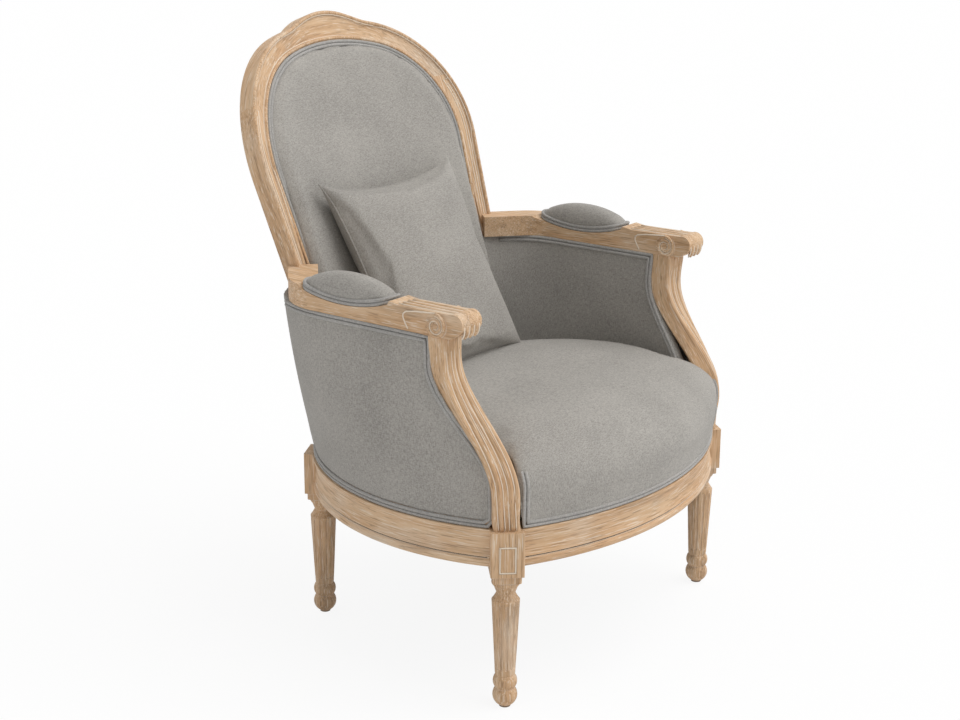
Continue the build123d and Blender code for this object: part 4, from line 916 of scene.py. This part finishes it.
WELT_INSETS = (3.2, 9.1)
LOOK_FROM = 0.6
tubes("pillow_seam", [seam_line], 0.0016, PILLOW_LINEN, "pillow_linen", PILLOW, closed=True)
back_lines = [
    [on_back(point.x, point.y, 0.6) for point in inner_line(inset, -28)] for inset in WELT_INSETS
]
welt("back_welt_cords", back_lines, "back_welt")


# Welt round the outside back, over the bowed panel and down to the back rail

REAR_PROUD = -32.4
REAR_CORD_PROUD = 1.6
SEAM_TOP = 584
SEAM_FOOT = 302
SEAM_HALF = 213
SEAM_SPREAD = 56
SEAM_CURVE = 23
SEAM_SHIFTS = (-3.0, 2.8, 8.6)
FOOT_HEIGHT = 299.6
FOOT_HALF = 199

bpy.context.view_layer.update()
rear_pieces = [outside, outside_arms["left"], outside_arms["right"]]
rear_pieces += [nodes[name] for name in ("back_rail", "back_post_left", "back_post_right")]


def first_met(pieces, start, way):
    """Nearest spot that a look from a start along a way meets on some pieces, and its facing."""
    looks = [piece.ray_cast(start, way) for piece in pieces]
    met = [(spot, facing) for found, spot, facing, face in looks if found]
    return min(met, key=lambda hit: (hit[0] - start).length, default=None)


def rear_spot(across, height):
    """Point proud of the back at a place across it and a height, found by looking from behind."""
    start = Vector((across / 1000, LOOK_FROM, height / 1000))
    met = first_met(rear_pieces, start, Vector((0, -1, 0)))
    return met[0] + Vector((0, REAR_CORD_PROUD / 1000, 0)) if met else None


def evened(line, reach=4):
    """Line with each point moved to the middle of its neighbours, its ends kept."""
    even = []
    for spot in range(len(line)):
        span = min(reach, spot, len(line) - 1 - spot)
        near = line[spot - span:spot + span + 1]
        even.append(sum(near, Vector()) / len(near))
    return even


def seam_route(sign, shift, count=60):
    """Seam of the outside back and the outside arm, from the stile's foot down to the back rail."""
    line = []
    for step in range(count + 1):
        rise = 1 - step / count
        height = SEAM_FOOT + (SEAM_TOP - SEAM_FOOT) * rise
        across = SEAM_HALF + SEAM_SPREAD * rise - SEAM_CURVE * rise**2 - shift
        line.append(rear_spot(sign * across, height))
    return evened([spot for spot in line if spot])


def foot_route(height, half_width, count=60):
    """Foot of the outside back along the back rail."""
    places = [half_width * (2 * step / count - 1) for step in range(count + 1)]
    line = [rear_spot(across, height) for across in places]
    return evened([spot for spot in line if spot])


outside_back_lines = []
for inset in WELT_INSETS:
    arch = inner_line(inset, -26)
    outside_back_lines.append([on_back(point.x, point.y, REAR_PROUD) for point in arch])
    outside_back_lines.append(foot_route(FOOT_HEIGHT + inset, FOOT_HALF))
    for sign in SIDES.values():
        places = [sign * (INNER_ARCH[1] - inset + step * 4) for step in range(10)]
        under_stile = [on_back(across, -27 - inset / 2, REAR_PROUD) for across in places]
        outside_back_lines.append(under_stile)
for sign in SIDES.values():
    outside_back_lines += [seam_route(sign, shift) for shift in SEAM_SHIFTS]
welt("outside_back_welt_cords", outside_back_lines, "outside_back_welt")


# Welt along the front of the seat and up beside the arm posts

SEAT_WELT_RADIUS = 558.2
RISER_LIFT = 7
RISER_TOP = 390
RISER_PROUD = 0.0010
BEFORE_POST = 100


def riser_line(sign, across, low, high, count=24):
    """Line on the seat's front corner beside the arm post, from a height down to the rail."""
    turn = radians(FRONT_TURN)
    along = Vector((cos(turn), sin(turn), 0))
    front = Vector((sin(turn), -cos(turn), 0))
    way = Vector((-sign * front.x, -front.y, 0))
    line = []
    for step in range(count + 1):
        height = high + (low - high) * step / count
        post = Vector((FRONT_LEG[0], FRONT_LEG[1] + POST_BEND * ease(height), height))
        place = (post + along * across + front * BEFORE_POST) / 1000
        start = Vector((sign * place.x, place.y, place.z))
        met = first_met((seat,), start, way)
        if met:
            line.append(met[0] - way * RISER_PROUD)
    return line


seat_lines = []
for across, half_angle, height in ((-25.2, 30.75, 301.2), (-31.2, 30.1, 307.1)):
    run = arc_line(
        FRONT_CENTRE, SEAT_WELT_RADIUS, -90 - half_angle, half_angle - 90, height, count=60
    )
    right_riser = riser_line(-1, across, height + RISER_LIFT, RISER_TOP)
    left_riser = riser_line(1, across, height + RISER_LIFT, RISER_TOP)
    seat_lines.append(right_riser + run + left_riser[::-1])
welt("seat_welt_cords", seat_lines, "seat_welt")


# Welts round the outside and inside of the arms

WALL_PROUD = 0.0012
ROUTE_STEPS = 40
OUTER_POST_LINE = (-265, -165)
INNER_POST_LINE = (-246, -156)
INNER_FOOT = 330


def wall_spot(pieces, sign, across, height, way):
    """Point proud of a side wall at a place along it and a height, found by looking along x."""
    start = Vector((sign * (LOOK_FROM if way < 0 else 0.0), across / 1000, height / 1000))
    look = Vector((sign * way, 0, 0))
    met = first_met(pieces, start, look)
    if met is None:
        return None
    spot, facing = met
    return spot + (-facing if facing.dot(look) > 0 else facing) * WALL_PROUD


def up_and_under(post_line, shift, low, rear):
    """Side view of a welt that goes up the post's S-bend and back under the arm."""
    foot, head = post_line
    high = ARM_BOTTOM - shift
    route = []
    for step in range(ROUTE_STEPS + 1):
        height = low + (high - low) * step / ROUTE_STEPS
        route.append((foot + (head - foot) * ease(height) + shift, height))
    front = head + shift
    for step in range(1, ROUTE_STEPS + 1):
        route.append((front + (rear - front) * step / ROUTE_STEPS, high))
    return route


def along_foot(front, rear, height):
    """Side view of a welt along the foot of the wall, from the rear to the post."""
    return [
        (rear + (front - rear) * step / ROUTE_STEPS, height) for step in range(ROUTE_STEPS)
    ]


def wall_line(pieces, sign, route, way):
    """Line that lays a side view's route on the first of some pieces that it meets."""
    spots = [wall_spot(pieces, sign, across, height, way) for across, height in route]
    return [spot for spot in spots if spot]


for side, sign in SIDES.items():
    outer_lines = []
    inner_lines = []
    outer_wall = (outside_arms[side], nodes[f"side_rail_{side}"])
    for shift in WELT_INSETS:
        foot_height = RAIL_TOP + shift
        route = along_foot(OUTER_POST_LINE[0] + shift, 168, foot_height)
        route += up_and_under(OUTER_POST_LINE, shift, foot_height, 146)
        outer_lines.append(wall_line(outer_wall, sign, route, -1))
        rear_corner = arc_line(SIDE_CENTRE, 394.6, 41.0, 48.5, foot_height, count=8)
        outer_lines.append(rear_corner if sign > 0 else mirrored(rear_corner))
        route = up_and_under(INNER_POST_LINE, shift, INNER_FOOT, 150)
        inner_lines.append(wall_line((inside_arms[side],), sign, route, 1))
    welt(f"outside_arm_cords_{side}", outer_lines, f"outer_arm_welt_{side}")
    welt(f"inside_arm_cords_{side}", inner_lines, f"inner_arm_welt_{side}")

PAD_HALF_WIDTH = 24
CRADLE_RIM = 628
CRADLE_DEPTH = 15
RING_SIDE_STEPS = 20


def pad_ring(sign, height, inset, count=28):
    """Long rounded ring round an arm pad, dipping with the cradle."""
    half = PAD_HALF_WIDTH - inset
    reach = PAD_HALF - inset - half
    ring = []
    for end in (1, -1):
        for step in range(count + 1):
            angle = (0 if end > 0 else pi) + pi * step / count
            ring.append(round_spot((0, end * reach), half, angle))
        for step in range(1, RING_SIDE_STEPS):
            ring.append((-end * half, end * reach * (1 - 2 * step / RING_SIDE_STEPS)))
    points = []
    for across, along in ring:
        dip = CRADLE_RIM - CRADLE_DEPTH * (1 - (along / PAD_HALF) ** 2)
        points.append(Vector((sign * (ARM_X + across), PAD_MIDDLE + along, dip + height)) / 1000)
    return points


for side, sign in SIDES.items():
    rings = [pad_ring(sign, 3.0, 2.6), pad_ring(sign, 8.8, 3.0)]
    welt(f"arm_pad_cords_{side}", rings, f"arm_pad_welt_{side}", closed=True)


# Carved trim on the show wood: raised beads, the lime that stays in the cut lines, and painted
# shade in the rails' grooves

VOLUTE_CENTRE = (-180, 611)
VOLUTE_RADIUS = 18.6
VOLUTE_WIND = 13.6
NOSE_CENTRE = (-206, 610)
NOSE_RADIUS = 21.6
ARM_CURL = (
    (-126, 598), (-121, 606), (-117, 614), (-117, 620), (-122, 624), (-140, 627), (-178, 630),
)
POST_WIDTH = 42
POST_FLARE = 7
POST_HALF_DEPTH = 18
RIB_FOOT = 300
RIB_HEAD = 592


def arm_faces(reach):
    """Places across the chair this far to either side of the arm's middle."""
    return ARM_X + reach, ARM_X - reach


def volute_line(sign, face, turns, out, count=100):
    """Spiral on one face of the arm's front end, from its rim in to the eye."""
    line = []
    for step in range(count + 1):
        share = step / count
        radius = VOLUTE_RADIUS + out - VOLUTE_WIND * share**0.9
        angle = pi / 2 + share * turns * tau
        spot = round_spot(VOLUTE_CENTRE, radius, angle)
        line.append(Vector((sign * face, *spot)) / 1000)
    return line


def nose_line(sign, across, start, lift):
    """Line along the top of the arm from a place on it, over the rolled nose and under."""
    nose_y, nose_z = NOSE_CENTRE
    radius = NOSE_RADIUS + lift
    side_view = [(start + (nose_y - start) * step / 6, nose_z + radius) for step in range(7)]
    for step in range(1, 15):
        angle = radians(90 + step * 9.2)
        side_view.append(round_spot(NOSE_CENTRE, radius, angle))
    face = sign * (ARM_X + across)
    return [Vector((face, along, height)) / 1000 for along, height in side_view]


def post_line(sign, across, proud, count=40):
    """Line on the front face of the arm post, at a place across it."""
    line = []
    for step in range(count + 1):
        height = RIB_FOOT + (RIB_HEAD - RIB_FOOT) * step / count
        rise = (height - RAIL_TOP) / (ARM_BOTTOM - RAIL_TOP)
        bend = ease(height)
        turn = radians(FRONT_TURN * (1 - bend))
        depth = POST_HALF_DEPTH + rise + proud
        widening = (POST_WIDTH + POST_FLARE * rise) / POST_WIDTH
        lean = (ARM_X - FRONT_LEG[0]) * rise
        place = Vector((FRONT_LEG[0] + lean, FRONT_LEG[1] + POST_BEND * bend))
        sideways = Vector((cos(turn), sin(turn))) * across * widening
        forward = Vector((sin(turn), -cos(turn))) * depth
        spot = place + sideways + forward
        line.append(Vector((sign * spot.x, spot.y, height)) / 1000)
    return line


for side, sign in SIDES.items():
    spirals = [volute_line(sign, face, 1.9, 0) for face in arm_faces(27.2)]
    carving(f"volutes_{side}", spirals, 0.0026, OAK_Y)
    lime_lines = [volute_line(sign, face, 1.95, -2.7) for face in arm_faces(27.3)]
    for face in arm_faces(24.2):
        lime_lines.append([
            Vector((sign * face, along, height)) / 1000 for along, height in ARM_CURL
        ])
    lime_lines += [nose_line(sign, across, -104, 0.0) for across in (-18, -6, 6, 18)]
    carving(f"arm_lime_{side}", lime_lines, 0.0012, LIME_LINE)
    ridges = [nose_line(sign, across, -108, -1.2) for across in (-12, 0, 12)]
    carving(f"arm_ridges_{side}", ridges, 0.0036, OAK_Y)
    ribs = [post_line(sign, across, -1.6) for across in (-8.5, 8.5)]
    carving(f"post_ribs_{side}", ribs, 0.0040, OAK_POST)
    cuts = [post_line(sign, across, 0.0) for across in (-13.5, -3.4, 3.4, 13.5)]
    carving(f"post_lime_{side}", cuts, 0.0008, LIME_LINE)

BEAD_PROUD = -0.2
BEAD_FOOT = -26
for name, line, radius in (
    ("frame_outer_bead", outer_line(3.6, BEAD_FOOT), 0.0032),
    ("frame_inner_bead", inner_line(-3.4, BEAD_FOOT), 0.0028),
):
    bead = [on_back(point.x, point.y, BEAD_PROUD) for point in line]
    carving(name, [bead], radius, OAK_Z)

LINE_FOOT = -20
LINE_STEP = 6
CREST_JOINT = 262


def on_frame(points):
    """Line laid on the face of the back frame, found by looking square at the back."""
    line = []
    for point in points:
        start = on_back(point.x, point.y, 40)
        for name in ("back_stile_left", "back_stile_right", "crest_rail"):
            found, spot, normal, face = nodes[name].ray_cast(start, -slope_out, distance=0.06)
            if found:
                line.append(spot)
                break
    return line


frame_lines = [on_frame(outer_line(7, LINE_FOOT)), on_frame(inner_line(-7, LINE_FOOT))]
for sign in SIDES.values():
    for inset in (12, 17):
        edge = outer_line(inset, LINE_FOOT)
        stile = [point for point in edge if point.x * sign > 0 and point.y < CREST_JOINT]
        frame_lines.append(on_frame(stile))
    foot_edge = OUTER_ARCH[1] - LINE_STEP
    foot = [Vector((sign * (foot_edge - step * LINE_STEP), LINE_FOOT)) for step in range(5)]
    frame_lines.append(on_frame(foot))
    joint = [Vector((sign * (250 + step * LINE_STEP), CREST_JOINT)) for step in range(6)]
    frame_lines.append(on_frame(joint))
carving("frame_lime", [line for line in frame_lines if len(line) > 1], 0.0010, LIME_LINE)

# Painted shade along the grooves of the seat rails, drawn as thin dark lines
GROOVE_Z = 251.6
GROOVE_BACK = 4.6
side_groove = arc_line(SIDE_CENTRE, SIDE_RADIUS - GROOVE_BACK, -21.9, 44.0, GROOVE_Z)
grooves = [
    arc_line(FRONT_CENTRE, FRONT_RADIUS - GROOVE_BACK, -120.3, -59.7, GROOVE_Z),
    arc_line(BACK_CENTRE, BACK_RADIUS - GROOVE_BACK, 77.2, 102.8, GROOVE_Z),
    side_groove,
    mirrored(side_groove),
]
carving("rail_groove_shade", grooves, 0.0010, PAINTED_GROOVE_SHADE)

BLOCK_FACE = 25.2
BLOCK_FRAME = ((-12, 233.5), (12, 233.5), (12, 274.5), (-12, 274.5))
block_lines = []
for (leg_x, leg_y), degrees in ((FRONT_LEG, FRONT_TURN), (REAR_LEG, REAR_TURN)):
    for sign in SIDES.values():
        turn = radians(sign * degrees)
        along = Vector((cos(turn), sin(turn)))
        face = Vector((sign * leg_x, leg_y)) + Vector((sin(turn), -cos(turn))) * BLOCK_FACE
        block_lines.append([
            Vector((*(face + along * across), height)) / 1000 for across, height in BLOCK_FRAME
        ])
carving("block_lime", block_lines, 0.0017, LIME_LINE, closed=True)


# Floor, light and camera

FLOOR_GLOW = 0.90
WORLD_LIGHT = 0.56


def in_view(tree):
    """Mask of the rays that show a thing to the camera, straight, mirrored or through glass."""
    path = tree.nodes.new("ShaderNodeLightPath")
    mask = math_node(tree, "ADD", path.outputs["Is Camera Ray"], path.outputs["Is Glossy Ray"])
    return math_node(tree, "ADD", mask, path.outputs["Is Transmission Ray"], clamp=True)


bpy.ops.mesh.primitive_plane_add(size=60.0, location=(0, 0, 0))
floor = bpy.context.object
floor.name = "studio_floor"
floor_material = bpy.data.materials.new("studio_floor")
floor_material.use_nodes = True
tree = floor_material.node_tree
paper = tree.nodes["Principled BSDF"]
paper.inputs["Base Color"].default_value = (0.90, 0.90, 0.90, 1.0)
paper.inputs["Roughness"].default_value = 0.9
paper.inputs["Specular IOR Level"].default_value = 0.0
glow = tree.nodes.new("ShaderNodeEmission")
glow.inputs["Strength"].default_value = 1.0
blend = tree.nodes.new("ShaderNodeMixShader")
tree.links.new(math_node(tree, "MULTIPLY", in_view(tree), FLOOR_GLOW), blend.inputs["Fac"])
tree.links.new(paper.outputs["BSDF"], blend.inputs[1])
tree.links.new(glow.outputs["Emission"], blend.inputs[2])
tree.links.new(blend.outputs["Shader"], tree.nodes["Material Output"].inputs["Surface"])
floor.data.materials.append(floor_material)

world = bpy.data.worlds.new("studio")
world.use_nodes = True
scene.world = world
tree = world.node_tree
backdrop = tree.nodes["Background"]
shown = math_node(tree, "MULTIPLY", in_view(tree), 1.0 - WORLD_LIGHT)
backdrop.inputs["Color"].default_value = (1.0, 1.0, 1.0, 1.0)
tree.links.new(math_node(tree, "ADD", shown, WORLD_LIGHT), backdrop.inputs["Strength"])

bpy.ops.object.light_add(type="SUN", location=(0, 0, 3))
key = bpy.context.object
key.name = "soft_key"
key.data.energy = 1.95
key.data.angle = radians(60)
key.rotation_euler = Vector((-0.30, 0.46, -0.84)).to_track_quat("-Z", "Y").to_euler()

bpy.ops.object.camera_add(location=(-2.2700, -1.6823, 1.2965))
camera = bpy.context.object
camera.name = "photo_camera"
camera.rotation_euler = (radians(90 - 16.0), 0, radians(-52.3))
camera.data.sensor_width = 36.0
camera.data.lens = 64.43
camera.data.shift_x = 0.0343
camera.data.shift_y = -0.0264
camera.data.clip_end = 100.0
scene.camera = camera
scene.view_settings.view_transform = "Standard"
